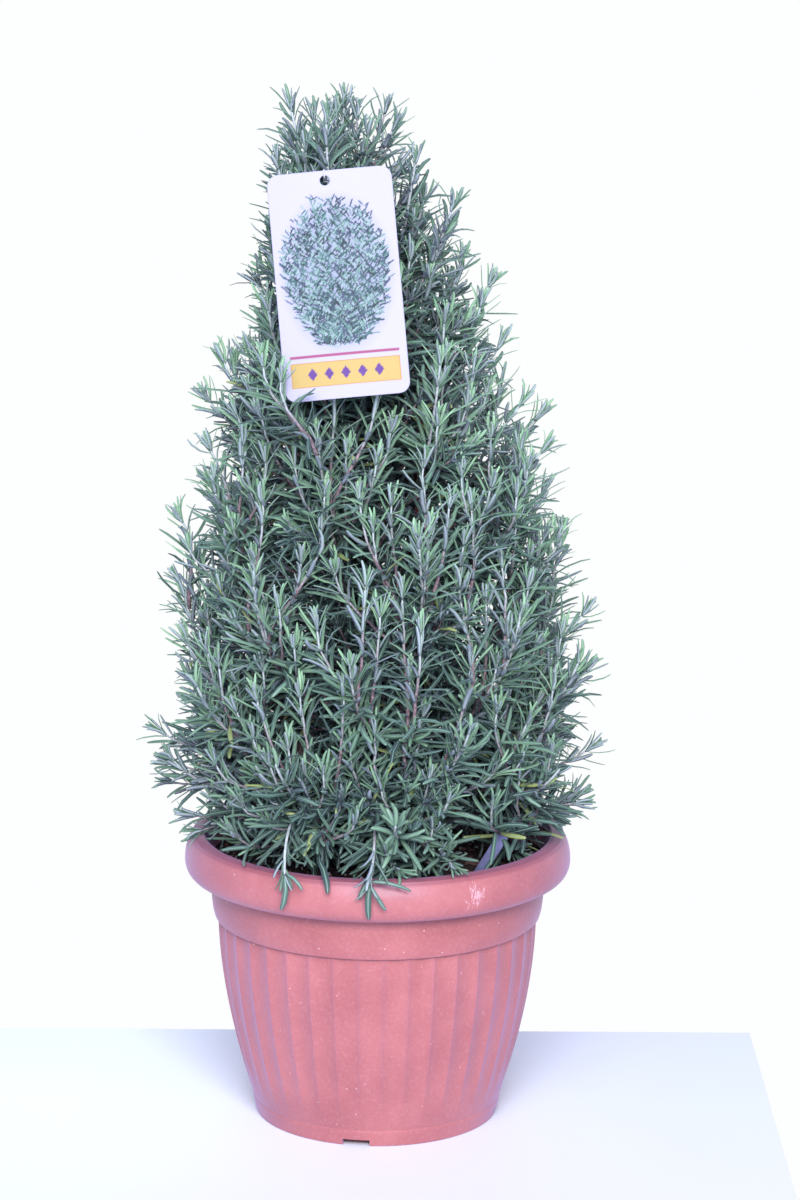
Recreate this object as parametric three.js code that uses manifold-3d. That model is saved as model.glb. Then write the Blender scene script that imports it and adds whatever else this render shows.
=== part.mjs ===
// A potted rosemary bush, clipped to a cone, in a fluted terracotta-coloured plastic pot,
// with a hang tag tied near the top and a narrow plant label standing in the soil.
// Millimetres, +Z up, front towards -Y. The origin is on the floor, under the middle of the pot.
import * as THREE from 'three';
import { mergeVertices } from 'three/addons/utils/BufferGeometryUtils.js';
import Module from 'manifold-3d';

const wasm = await Module();
wasm.setup();

// ------------------------------------------------------------------ driving dimensions
const CLEARANCE = 0.35; // between pieces that touch on the real plant

// pot
const POT_HEIGHT = 187;
const POT_WALL = 2.6;
const FOOT_RADIUS = 78.2;
const FOOT_TOP_RADIUS = 80.3;
const FOOT_INNER_RADIUS = 72;
const FOOT_HEIGHT = 9.5;
const FLOOR_UNDERSIDE = 4.5;
const FLOOR_TOP = 7.5;
const BODY_BOTTOM = 11;
const BODY_TOP = 131;
const BODY_TOP_RADIUS = 102.3;
const BODY_TAPER = 26.1; // how much narrower the body would be at floor level
const BODY_CURVE = 1.8; // above 1 the body swells outward low down
const FLUTES = 40;
const FLUTE_DEPTH = 1.2;
const FLUTE_TURN = 2.7; // degrees from the front to the nearest sharp edge between flutes
const BAND_BOTTOM = 131.2;
const BAND_BOTTOM_RADIUS = 104.4;
const BAND_MIDDLE = 136;
const BAND_MIDDLE_RADIUS = 105.7;
const BAND_TOP = 158;
const BAND_TOP_RADIUS = 107.8;
const RIM_RADIUS = 123.5;
const ROLL_TOP_RADIUS = 113;
const ROLL_WIDEST_LEVEL = 168;
const ROLL_UNDERSIDE_LEVEL = 159.6; // the rim curls down and in to this, clear of the band
const ROLL_UNDERSIDE_RADIUS = 118;
const LIP_RADIUS = 110.7;
const LIP_LEVEL = 184.3;
const INNER_WALL = [[137, 102.4], [158, 105.3], [166, 108.54]]; // level, radius: above the body
const NOTCHES = 4;
const NOTCH_TURN = -99; // degrees, the notch nearest the front
const NOTCH_SIZE = [16, 19, 4]; // through the foot, along it, up
const DRAIN_RADIUS = 6;
const DRAIN_CENTRE_RADIUS = 58;

// soil
const SOIL_EDGE_LEVEL = 166;
const SOIL_CROWN = 9; // how much higher it lies round the stems
const SOIL_ROUGHNESS = 1.6;

// bush
const PLANT_TOP = 655;
const BUSH_RADIUS = 143; // needle tips, at the widest level
const WIDEST_LEVEL = 250;
const SHOULDER_DROP = 111; // how much narrower it is at the very top
const SHOULDER_CURVE = 1.6;
const SKIRT_LEVEL = 190;
const SKIRT_DROP = 14;
const LEAN_FROM = 380; // above this level the bush leans to the left
const LEAN = -30;

// woody stems
const STEM_FOOT_LEVEL = 130;
const STEM_STRAIGHT_TO = 181;
const STEM_SIDES = 5;
const STEM_RING_STEP = 24;
const STEM_TIP_RADIUS = 1.7;
const STEM_HOLE_SIDES = 8;
const WOODY_STEMS = [
  // leader, then four tall stems and five low ones that spread, all from one clump
  { count: 1, footRadius: 0, turn: 0, topLevel: 575, topShare: 0, radius: 5.2, spread: 0 },
  { count: 4, footRadius: 17, turn: 52, topLevel: 480, topShare: 0.42, radius: 4.0, spread: 0.3 },
  { count: 5, footRadius: 27, turn: -80, topLevel: 330, topShare: 0.56, radius: 3.8, spread: 0.55 },
];

// leafy sprays
const SPRAY_COUNT = 37; // spread over the whole bush, besides the placed ones
const SPRAY_RADIUS = 1.7;
const SPRAY_TIP_RADIUS = 1.3;
const TIP_INSET = 9; // stem tips end this far inside the needles' outline
const LOWEST_TIP = 208;
const HIGHEST_TIP = 622;
const VIRTUAL_APEX = 702;
const GOLDEN_TURN = 137.508;
const LEAFY_STEP = 5.8; // a whorl of three needles each
const BARE_STEP = 15;
const LOW_SPLAY = 56; // degrees from upright at the tip, on the lowest sprays
const HIGH_SPLAY = 9;
const LOW_RISE = 22; // from where a spray leaves its woody stem up to its tip
const HIGH_RISE = 96;
const SPRAY_REACH = 66; // the same, outwards
const LEAFY_LENGTH = 88;
const SIDE_LEAFY_LENGTH = 44;

// needles
const NEEDLE_LENGTH = 29;
const TIP_NEEDLE_LENGTH = 14;
const NEEDLE_ROOT_RADIUS = 2.1;
const NEEDLE_GAP = 0.5;
const SHORTEST_NEEDLE = 8;

// hang tag and its tie
const TAG_WIDTH = 75;
const TAG_HEIGHT = 137;
const TAG_THICKNESS = 0.6;
const TAG_CORNER = 7;
const TAG_CENTRE = new THREE.Vector3(-24.8, -83, 546.2);
const TAG_TILT = 5.6; // degrees, seen from the front
const TAG_LEAN = 14.4; // degrees, top backwards
const TAG_HOLE = new THREE.Vector2(-2.7, 62.5);
const TAG_HOLE_RADIUS = 3;
const TIE_RADIUS = 0.6;
const TIE_LEVEL = 603; // where it goes round the shoot

// plant label
const LABEL_SIZE = new THREE.Vector3(7, 1.2, 74);
const LABEL_FOOT = new THREE.Vector3(44, -45, 136);
const LABEL_LEAN = 31; // degrees to the right
const LABEL_TURN = -24;

const UP = new THREE.Vector3(0, 0, 1);
const rad = THREE.MathUtils.degToRad;
const clamp = THREE.MathUtils.clamp;

// ------------------------------------------------------------------ finishes
const finish = (color, roughness) => new THREE.MeshStandardMaterial({ color, roughness, metalness: 0 });
const FINISH = {
  pot: finish('#c4705f', 0.55),
  soil: finish('#3d322b', 0.95),
  bark: finish('#7a6258', 0.85),
  oldLeaf: finish('#3f6143', 0.6),
  leaf: finish('#50764f', 0.55),
  freshLeaf: finish('#6f9462', 0.55),
  card: finish('#f1eff4', 0.5),
  tie: finish('#f4f4f2', 0.6),
  label: finish('#4a5068', 0.45),
};

const model = new THREE.Group();

function place(name, geometry, material) {
  const mesh = new THREE.Mesh(geometry, material);
  mesh.name = name;
  model.add(mesh);
  return mesh;
}

// ------------------------------------------------------------------ geometry helpers
// the same draws in the same order every time
function draws(seed) {
  let state = seed >>> 0;
  return () => {
    state = (Math.imul(state, 1664525) + 1013904223) >>> 0;
    return state / 4294967296;
  };
}

function polar(radius, degrees, level) {
  return new THREE.Vector3(radius * Math.cos(rad(degrees)), radius * Math.sin(rad(degrees)), level);
}

function toGeometry(points, faces) {
  const geometry = new THREE.BufferGeometry();
  const flat = points.flatMap((p) => [p.x, p.y, p.z]);
  geometry.setAttribute('position', new THREE.Float32BufferAttribute(flat, 3));
  geometry.setIndex(faces.flat());
  return geometry;
}

// joins two rings of corners by triangles; the finer ring may have a multiple of the other's corners
function stitch(faces, lower, upper) {
  const steps = Math.max(lower.length, upper.length);
  const at = (ring, i) => ring[Math.floor((i * ring.length) / steps) % ring.length];
  for (let i = 0; i < steps; i += 1) {
    const [l0, l1, u0, u1] = [at(lower, i), at(lower, i + 1), at(upper, i), at(upper, i + 1)];
    if (l0 !== l1) faces.push([l0, l1, u1]);
    if (u0 !== u1) faces.push([l0, u1, u0]);
  }
}

// a closed turned body: rings from the middle of its underside, out and round to its inside
function turned(rings) {
  const points = [];
  const faces = [];
  const corners = rings.map(({ radius, level, sides, flute = 0, rough = 0 }, index) => {
    const draw = draws(index * 7919 + 17);
    return Array.from({ length: radius === 0 ? 1 : sides }, (_, i) => {
      const inFlute = sides > FLUTES && i % 2 === 1;
      const turn = -90 + FLUTE_TURN + (360 * i) / sides;
      const r = inFlute ? radius - flute : radius;
      return points.push(polar(r, turn, level + rough * (2 * draw() - 1))) - 1;
    });
  });
  for (let i = 1; i < corners.length; i += 1) stitch(faces, corners[i - 1], corners[i]);
  return toGeometry(points, faces);
}

function toSolid(geometry, matrix = new THREE.Matrix4()) {
  const bare = geometry.clone().applyMatrix4(matrix);
  bare.deleteAttribute('normal');
  bare.deleteAttribute('uv');
  const merged = mergeVertices(bare, 1e-4);
  return new wasm.Manifold(
    new wasm.Mesh({
      numProp: 3,
      vertProperties: merged.attributes.position.array,
      triVerts: Uint32Array.from(merged.index.array),
    }),
  );
}

function fromSolid(solid) {
  const { vertProperties, triVerts } = solid.getMesh();
  const geometry = new THREE.BufferGeometry();
  geometry.setAttribute('position', new THREE.Float32BufferAttribute(vertProperties, 3));
  geometry.setIndex(Array.from(triVerts));
  return geometry;
}

function cut(geometry, cutters) {
  return fromSolid(cutters.reduce((body, cutter) => body.subtract(cutter), toSolid(geometry)));
}

function uprightCylinder(radius, bottom, top, sides, centre) {
  const cylinder = new THREE.CylinderGeometry(radius, radius, top - bottom, sides);
  const matrix = new THREE.Matrix4().makeTranslation(centre.x, centre.y, (top + bottom) / 2);
  return toSolid(cylinder.rotateX(Math.PI / 2), matrix);
}

// ------------------------------------------------------------------ pot
function bodyRadius(level) {
  return BODY_TOP_RADIUS - BODY_TAPER * (1 - level / BODY_TOP) ** BODY_CURVE;
}

// inside of the wall: the body's curve less its wall, then straight from one level to the next
function insideRadius(level) {
  const ofBody = (z) => bodyRadius(z) - POT_WALL - FLUTE_DEPTH / 2;
  if (level <= BODY_TOP) return ofBody(level);
  const wall = [[BODY_TOP, ofBody(BODY_TOP)], ...INNER_WALL, [LIP_LEVEL, LIP_RADIUS]];
  const i = wall.findIndex(([top]) => level <= top);
  const [[low, lowRadius], [high, highRadius]] = [wall[i - 1], wall[i]];
  return THREE.MathUtils.mapLinear(level, low, high, lowRadius, highRadius);
}

const INSIDE_LEVELS = [14, 34, 70, BODY_TOP, INNER_WALL[0][0], BAND_TOP]; // of the inner wall, upwards

function makePot() {
  const plain = (radius, level) => ({ radius, level, sides: FLUTES });
  const fluted = (level) => ({
    radius: bodyRadius(level),
    level,
    sides: 2 * FLUTES,
    flute: FLUTE_DEPTH * THREE.MathUtils.smoothstep(level, BODY_BOTTOM, 30),
  });
  const arc = (radius, height, turns) => turns.map((turn) => plain(
    radius + (RIM_RADIUS - radius) * Math.cos(rad(turn)),
    ROLL_WIDEST_LEVEL + height * Math.sin(rad(turn)),
  ));
  const roll = [
    ...arc(ROLL_UNDERSIDE_RADIUS, ROLL_WIDEST_LEVEL - ROLL_UNDERSIDE_LEVEL, [-88, -45]),
    ...arc(ROLL_TOP_RADIUS, POT_HEIGHT - ROLL_WIDEST_LEVEL, [0, 28, 55, 86]),
  ];
  const body = turned([
    plain(0, FLOOR_UNDERSIDE),
    plain(FOOT_INNER_RADIUS, FLOOR_UNDERSIDE),
    plain(FOOT_INNER_RADIUS, 0),
    plain(FOOT_RADIUS, 0),
    plain(FOOT_TOP_RADIUS, FOOT_HEIGHT),
    ...[BODY_BOTTOM, 22, 38, 62, 94, BODY_TOP].map(fluted),
    plain(BAND_BOTTOM_RADIUS, BAND_BOTTOM),
    plain(BAND_MIDDLE_RADIUS, BAND_MIDDLE),
    plain(BAND_TOP_RADIUS, BAND_TOP),
    plain(BAND_TOP_RADIUS + 0.8, ROLL_UNDERSIDE_LEVEL + 0.8),
    ...roll,
    plain(LIP_RADIUS, LIP_LEVEL),
    ...[...INSIDE_LEVELS, SOIL_EDGE_LEVEL].reverse().map((level) => plain(insideRadius(level), level)),
    plain(insideRadius(INSIDE_LEVELS[0]) - 4, FLOOR_TOP),
    plain(0, FLOOR_TOP),
  ]);
  const cutters = [];
  for (let i = 0; i < NOTCHES; i += 1) {
    const turn = NOTCH_TURN + (360 * i) / NOTCHES;
    const notch = new THREE.Matrix4()
      .makeRotationZ(rad(turn))
      .setPosition(polar(FOOT_RADIUS - 2, turn, 0));
    const box = new THREE.BoxGeometry(NOTCH_SIZE[0], NOTCH_SIZE[1], 2 * NOTCH_SIZE[2]);
    cutters.push(toSolid(box, notch));
    const drain = polar(DRAIN_CENTRE_RADIUS, turn, 0);
    cutters.push(uprightCylinder(DRAIN_RADIUS, FLOOR_UNDERSIDE - 2, FLOOR_TOP + 2, 8, drain));
  }
  place('pot', cut(body, cutters), FINISH.pot);
}

// ------------------------------------------------------------------ outline of the bush
function bushRadius(level) {
  if (level < WIDEST_LEVEL) {
    return BUSH_RADIUS - SKIRT_DROP * ((WIDEST_LEVEL - level) / (WIDEST_LEVEL - SKIRT_LEVEL)) ** 2;
  }
  const share = Math.min(1, (level - WIDEST_LEVEL) / (PLANT_TOP - WIDEST_LEVEL));
  return BUSH_RADIUS - SHOULDER_DROP * share ** SHOULDER_CURVE;
}

function bushAxis(level) {
  const share = Math.max(0, level - LEAN_FROM) / (PLANT_TOP - LEAN_FROM);
  return new THREE.Vector3(LEAN * share ** 1.5, 0, level);
}

const outward = (point) => point.clone().sub(bushAxis(point.z)).setZ(0).normalize();

// ------------------------------------------------------------------ what a new twig must keep clear of
class Surroundings {
  constructor(cell) {
    this.cell = cell;
    this.cells = new Map();
    this.slabs = [];
  }

  * keys(a, b, margin) {
    const low = a.clone().min(b).subScalar(margin).divideScalar(this.cell).floor();
    const high = a.clone().max(b).addScalar(margin).divideScalar(this.cell).floor();
    for (let x = low.x; x <= high.x; x += 1) {
      for (let y = low.y; y <= high.y; y += 1) {
        for (let z = low.z; z <= high.z; z += 1) yield `${x},${y},${z}`;
      }
    }
  }

  // a rod from a to b, whose radius goes from ra to rb
  addRod(rod) {
    for (const key of this.keys(rod.a, rod.b, Math.max(rod.ra, rod.rb))) {
      if (!this.cells.has(key)) this.cells.set(key, []);
      this.cells.get(key).push(rod);
    }
  }

  addRoute(points, radius, owner) {
    for (let i = 1; i < points.length; i += 1) {
      this.addRod({ a: points[i - 1], b: points[i], ra: radius, rb: radius, owner, along: i });
    }
  }

  addSlab(frame, halfSize) {
    this.slabs.push({ inverse: frame.clone().invert(), halfSize });
  }

  // the free space between a rod and everything else, at most `enough`
  room(rod, enough, ignored) {
    let room = enough;
    const seen = new Set();
    for (const key of this.keys(rod.a, rod.b, enough + Math.max(rod.ra, rod.rb))) {
      for (const other of this.cells.get(key) ?? []) {
        if (seen.has(other) || ignored(other)) continue;
        seen.add(other);
        room = Math.min(room, roomBetween(rod, other));
      }
    }
    return room;
  }

  // is the rod clear of the pot, the soil and the flat pieces?
  clearOfSolids(rod, margin) {
    const steps = 12;
    for (let i = 0; i <= steps; i += 1) {
      const share = i / steps;
      const point = rod.a.clone().lerp(rod.b, share);
      const reach = THREE.MathUtils.lerp(rod.ra, rod.rb, share) + margin;
      if (hitsPotOrSoil(point, reach)) return false;
      for (const { inverse, halfSize } of this.slabs) {
        const local = point.clone().applyMatrix4(inverse);
        if (Math.abs(local.x) < halfSize.x + reach
          && Math.abs(local.y) < halfSize.y + reach
          && Math.abs(local.z) < halfSize.z + reach) return false;
      }
    }
    return true;
  }
}

function hitsPotOrSoil(point, reach) {
  const radius = Math.hypot(point.x, point.y);
  if (point.z > POT_HEIGHT + reach || radius > RIM_RADIUS + reach) return false;
  const soilTop = SOIL_EDGE_LEVEL + SOIL_ROUGHNESS
    + SOIL_CROWN * Math.max(0, 1 - radius / insideRadius(SOIL_EDGE_LEVEL));
  return radius > insideRadius(Math.min(point.z, LIP_LEVEL)) - reach || point.z < soilTop + reach;
}

// free space between two tapered rods, at the closest points of their middle lines
function roomBetween(p, q) {
  const u = p.b.clone().sub(p.a);
  const v = q.b.clone().sub(q.a);
  const w = p.a.clone().sub(q.a);
  const [uu, uv, vv, uw, vw] = [u.dot(u), u.dot(v), v.dot(v), u.dot(w), v.dot(w)];
  const spread = uu * vv - uv * uv;
  let s = spread > 1e-9 ? clamp((uv * vw - vv * uw) / spread, 0, 1) : 0;
  const t = clamp((uv * s + vw) / vv, 0, 1);
  s = clamp((uv * t - uw) / uu, 0, 1);
  const gap = w.addScaledVector(u, s).addScaledVector(v, -t).length();
  return gap - THREE.MathUtils.lerp(p.ra, p.rb, s) - THREE.MathUtils.lerp(q.ra, q.rb, t);
}

const surroundings = new Surroundings(14);

// ------------------------------------------------------------------ growing skins
// A stem is a closed skin grown ring by ring. Each corner of a ring faces the middle of an
// edge of the ring below, so every band has upright triangles that a needle can rise from.
class Skin {
  constructor(owner) {
    this.owner = owner;
    this.points = [];
    this.faces = [];
  }

  add(point) {
    return this.points.push(point) - 1;
  }

  middle(corners) {
    return corners.reduce((sum, corner) => sum.add(this.points[corner]), new THREE.Vector3())
      .divideScalar(corners.length);
  }

  firstRing(centre, axis, radius, sides) {
    const side = new THREE.Vector3(1, 0, 0).addScaledVector(axis, -axis.x).normalize();
    const ring = Array.from({ length: sides }, (_, i) => {
      const out = side.clone().applyAxisAngle(axis, (2 * Math.PI * i) / sides);
      return this.add(centre.clone().addScaledVector(out, radius));
    });
    for (let i = 2; i < sides; i += 1) this.faces.push([ring[0], ring[i], ring[i - 1]]);
    return ring;
  }

  // one band: returns the new ring and the upright triangles, which are still open
  band(lower, centre, axis, radius, twist) {
    const lowerCentre = this.middle(lower);
    const upper = lower.map((corner, i) => {
      const out = this.middle([corner, lower[(i + 1) % lower.length]]).sub(lowerCentre);
      out.addScaledVector(axis, -out.dot(axis)).normalize().applyAxisAngle(axis, twist);
      return this.add(centre.clone().addScaledVector(out, radius));
    });
    const upright = lower.map((corner, i) => [corner, lower[(i + 1) % lower.length], upper[i]]);
    lower.forEach((_, i) => {
      const next = (i + 1) % lower.length;
      this.faces.push([lower[next], upper[next], upper[i]]);
    });
    return { upper, upright };
  }

  // rises a spike from an open triangle
  spike(ring, tip) {
    const apex = this.add(tip);
    ring.forEach((corner, i) => this.faces.push([corner, ring[(i + 1) % ring.length], apex]));
  }
}

// Grows a stem along a curve from a ring. Returns its buds: open triangles with their place.
function growStem(skin, firstRing, curve, { radiusAt, leafyLength, leafyStep, bareStep, draw }) {
  const length = curve.getLength();
  const leafyFrom = Math.max(0, length - leafyLength);
  const bareBands = Math.round(leafyFrom / bareStep);
  const leafyBands = Math.max(1, Math.round((length - leafyFrom) / leafyStep));
  const stations = [];
  for (let i = 1; i <= bareBands; i += 1) stations.push((leafyFrom * i) / bareBands);
  for (let i = 1; i <= leafyBands; i += 1) {
    stations.push(leafyFrom + ((length - leafyFrom) * i) / leafyBands);
  }
  const buds = [];
  let ring = firstRing;
  stations.forEach((station, index) => {
    const share = Math.min(1, station / length);
    const centre = curve.getPointAt(share);
    const axis = curve.getTangentAt(share);
    const twist = index === 0 ? 0 : rad(24 * (draw() - 0.5));
    const { upper, upright } = skin.band(ring, centre, axis, radiusAt(share), twist);
    upright.forEach((triangle) => buds.push({
      skin, triangle, centre, axis, toTip: length - station, leafy: index >= bareBands,
    }));
    ring = upper;
  });
  return { buds, ring, length };
}

// ------------------------------------------------------------------ woody stems
const stemNodes = []; // corners of the woody stems, where sprays may start
const stemFeet = [];

function growWoodyStems() {
  const draw = draws(2024);
  let number = 0;
  for (const kind of WOODY_STEMS) {
    for (let i = 0; i < kind.count; i += 1) {
      number += 1;
      const name = `woody_stem_${String(number).padStart(2, '0')}`;
      const turn = kind.turn + (360 * i) / kind.count + 16 * (draw() - 0.5);
      const topLevel = kind.topLevel + (i === 0 ? 0 : 24 * (draw() - 0.5));
      const foot = polar(kind.footRadius, turn, STEM_FOOT_LEVEL);
      const start = foot.clone().setZ(STEM_STRAIGHT_TO);
      const top = bushAxis(topLevel).add(polar(kind.topShare * bushRadius(topLevel), turn, 0));
      const rise = topLevel - STEM_STRAIGHT_TO;
      const curve = new THREE.CubicBezierCurve3(
        start,
        start.clone().add(polar(kind.spread * 6, turn, rise * 0.18)),
        top.clone().add(polar(kind.spread * 14 - 6, turn, -rise * 0.42)),
        top,
      );
      const skin = new Skin(name);
      const radiusAt = (share) => THREE.MathUtils.lerp(kind.radius, STEM_TIP_RADIUS, share ** 0.8);
      const footRing = skin.firstRing(foot, UP, kind.radius, STEM_SIDES);
      const straight = skin.band(footRing, start, UP, kind.radius, 0);
      straight.upright.forEach((triangle) => skin.faces.push(triangle));
      const { buds, ring } = growStem(skin, straight.upper, curve, {
        radiusAt, leafyLength: 0, leafyStep: STEM_RING_STEP, bareStep: STEM_RING_STEP, draw,
      });
      buds.forEach(({ triangle, centre }) => {
        skin.faces.push(triangle);
        const corner = skin.points[triangle[2]];
        const out = corner.clone().sub(centre).normalize();
        stemNodes.push({ point: corner, out, stem: name, used: false });
      });
      skin.spike(ring, top.clone().addScaledVector(curve.getTangentAt(1), 5));
      surroundings.addRoute([foot, ...curve.getSpacedPoints(24)], kind.radius, name);
      stemFeet.push({ centre: foot, radius: kind.radius });
      place(name, toGeometry(skin.points, skin.faces), FINISH.bark);
    }
  }
}

// ------------------------------------------------------------------ leafy sprays
// Sprays placed by hand: the shoots that make the top and its two shoulders, the first of which
// carries the tag, and sprigs that hang over the front of the rim. tip, and where it points.
const PLACED_SPRAYS = [
  { tip: [-33, -47, 640], heading: [-0.02, -0.05, 1], from: 540, fresh: true, holdsTag: true },
  { tip: [-56, -6, 646], heading: [-0.25, -0.05, 1], from: 535, fresh: true },
  { tip: [-23, 4, 648], heading: [0.05, 0.05, 1], from: 560, fresh: true },
  { tip: [1, -12, 642], heading: [0.2, -0.1, 1], from: 545, fresh: true },
  { tip: [-20, 34, 636], heading: [0.1, 0.25, 1], from: 545, fresh: true },
  { tip: [44, -30, 588], heading: [0.3, -0.15, 1], from: 490, fresh: true },
  { tip: [-64, -18, 612], heading: [-0.3, -0.1, 1], from: 515, fresh: true },
  { tip: [21, -36, 616], heading: [0.2, -0.2, 1], from: 515, fresh: true },
  { tip: [-4, -128, 186], heading: [0, -0.25, -0.97], from: 200 },
  { tip: [-56, -115, 188], heading: [-0.2, -0.3, -0.93], from: 200 },
];

// tips spread evenly over the bush by the golden angle, the same area to each
function spreadTips() {
  const lowShare = (VIRTUAL_APEX - HIGHEST_TIP) / (VIRTUAL_APEX - LOWEST_TIP);
  return Array.from({ length: SPRAY_COUNT }, (_, i) => {
    const area = (i + 0.5) / SPRAY_COUNT;
    const level = VIRTUAL_APEX
      - (VIRTUAL_APEX - LOWEST_TIP) * Math.sqrt(1 - area * (1 - lowShare * lowShare));
    const turn = i * GOLDEN_TURN;
    const tip = bushAxis(level).add(polar(bushRadius(level) - TIP_INSET, turn, 0));
    const height = (level - LOWEST_TIP) / (HIGHEST_TIP - LOWEST_TIP);
    const splay = rad(LOW_SPLAY + (HIGH_SPLAY - LOW_SPLAY) * Math.min(1, height * 3) ** 0.7);
    const heading = outward(tip).multiplyScalar(Math.sin(splay)).addScaledVector(UP, Math.cos(splay));
    const rise = THREE.MathUtils.lerp(LOW_RISE, HIGH_RISE, Math.min(1, height * 3));
    return { tip, heading, from: level - rise };
  });
}

// the curve of a spray from a corner of a woody stem to its tip
function sprayCurve(node, spray, bend) {
  const start = node.point.clone().addScaledVector(node.out, CLEARANCE);
  const length = start.distanceTo(spray.tip);
  const aside = node.out.clone().cross(UP).normalize().multiplyScalar(bend);
  return new THREE.CubicBezierCurve3(
    start,
    start.clone().addScaledVector(node.out, length * 0.26).addScaledVector(UP, length * 0.06).add(aside),
    spray.tip.clone().addScaledVector(spray.heading, -length * 0.55).add(aside),
    spray.tip,
  );
}

function curveRoom(curve, ignoredStem, enough) {
  const points = curve.getSpacedPoints(16);
  let room = enough;
  for (let i = 1; i < points.length; i += 1) {
    const rod = { a: points[i - 1], b: points[i], ra: SPRAY_RADIUS, rb: SPRAY_RADIUS };
    if (!surroundings.clearOfSolids(rod, 2)) return 0;
    const near = i < 4;
    room = Math.min(room, surroundings.room(rod, enough, (o) => near && o.owner === ignoredStem));
  }
  return room;
}

function routeSpray(spray) {
  const tipRadius = spray.tip.clone().sub(bushAxis(spray.tip.z)).setZ(0).length();
  const wanted = bushAxis(spray.from)
    .addScaledVector(outward(spray.tip), Math.max(0, tipRadius - SPRAY_REACH));
  const candidates = stemNodes
    .filter((node) => !node.used)
    .map((node) => {
      const away = spray.tip.clone().sub(node.point);
      const facing = node.out.dot(away.normalize());
      return { node, cost: node.point.distanceTo(wanted) + 40 * Math.max(0, 0.45 - facing) };
    })
    .sort((p, q) => p.cost - q.cost)
    .slice(0, 10);
  let best = null;
  for (const { node, cost } of candidates) {
    for (const bend of [0, 7, -7, 14, -14]) {
      const curve = sprayCurve(node, spray, bend);
      const room = curveRoom(curve, node.stem, 7);
      const worth = 12 * room - cost - 0.6 * Math.abs(bend);
      if (room > 2 && (!best || worth > best.worth)) best = { node, curve, worth };
    }
  }
  return best;
}

const buds = [];

function growSprays() {
  const placed = PLACED_SPRAYS.map((spray) => ({
    ...spray,
    tip: new THREE.Vector3(...spray.tip),
    heading: new THREE.Vector3(...spray.heading).normalize(),
  }));
  const spread = spreadTips().filter(({ tip }) => placed.every((p) => p.tip.distanceTo(tip) > 24));
  const sprays = [];
  for (const spray of [...placed, ...spread]) {
    const route = routeSpray(spray);
    if (!route) continue;
    route.node.used = true;
    const name = `spray_${String(sprays.length + 1).padStart(2, '0')}`;
    surroundings.addRoute(route.curve.getSpacedPoints(20), SPRAY_RADIUS, name);
    sprays.push({ ...spray, ...route, name });
    if (spray.holdsTag) makeTie(route.curve);
  }
  sprays.forEach((spray, index) => {
    const draw = draws(9001 + index * 131);
    const skin = new Skin(spray.name);
    const radiusAt = (share) => THREE.MathUtils.lerp(SPRAY_RADIUS, SPRAY_TIP_RADIUS, share);
    const base = skin.firstRing(spray.curve.getPointAt(0), spray.node.out, SPRAY_RADIUS, 3);
    const main = growStem(skin, base, spray.curve, {
      radiusAt, leafyLength: LEAFY_LENGTH, leafyStep: LEAFY_STEP, bareStep: BARE_STEP, draw,
    });
    spray.skin = skin;
    spray.draw = draw;
    spray.buds = main.buds;
    skin.spike(main.ring, spray.curve.getPointAt(1).addScaledVector(
      spray.curve.getTangentAt(1), TIP_NEEDLE_LENGTH));
  });
  sprays.forEach((spray, index) => growSideShoot(spray, index % 2 === 0 ? 1 : -1));
  return sprays;
}

// one side shoot per spray, out of a bud on its upper half that has room beside it
function growSideShoot(spray, hand) {
  const across = outward(spray.tip).cross(UP).multiplyScalar(hand);
  let best = null;
  for (const bud of spray.buds) {
    const { triangle, centre, axis, toTip } = bud;
    if (toTip < 52 || toTip > 92) continue;
    const root = spray.skin.middle(triangle);
    const out = root.clone().sub(centre).addScaledVector(axis, -root.clone().sub(centre).dot(axis));
    out.normalize();
    for (const side of [across, across.clone().negate()]) {
      const facing = out.dot(side);
      if (facing < 0.5) continue;
      const tip = root.clone().addScaledVector(out, 26).addScaledVector(axis, 30);
      const limit = bushRadius(tip.z) - TIP_INSET - 3;
      const excess = tip.clone().sub(bushAxis(tip.z)).setZ(0).length() - limit;
      if (excess > 0) tip.addScaledVector(outward(tip), -excess);
      const curve = new THREE.QuadraticBezierCurve3(
        root, root.clone().addScaledVector(out, 12).addScaledVector(axis, 8), tip,
      );
      const room = sideRoom(curve, spray.name);
      const worth = room + 2 * facing + (side === across ? 1 : 0);
      if (room > 1.5 && (!best || worth > best.worth)) best = { bud, curve, worth };
    }
  }
  if (!best) return;
  const { bud, curve } = best;
  const radiusAt = (share) => THREE.MathUtils.lerp(SPRAY_RADIUS, SPRAY_TIP_RADIUS, share);
  const side = growStem(spray.skin, bud.triangle, curve, {
    radiusAt, leafyLength: SIDE_LEAFY_LENGTH, leafyStep: LEAFY_STEP, bareStep: 8, draw: spray.draw,
  });
  spray.buds = [...spray.buds.filter((other) => other !== bud), ...side.buds];
  spray.skin.spike(side.ring, curve.getPointAt(1).addScaledVector(
    curve.getTangentAt(1), TIP_NEEDLE_LENGTH));
  surroundings.addRoute(curve.getSpacedPoints(8), SPRAY_RADIUS, spray.name);
}

function sideRoom(curve, owner) {
  const points = curve.getSpacedPoints(6);
  let room = 6;
  for (let i = 1; i < points.length; i += 1) {
    const rod = { a: points[i - 1], b: points[i], ra: SPRAY_RADIUS, rb: SPRAY_RADIUS };
    if (!surroundings.clearOfSolids(rod, 1)) return 0;
    room = Math.min(room, surroundings.room(rod, 6, (o) => i < 4 && o.owner === owner));
  }
  return room;
}

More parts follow.
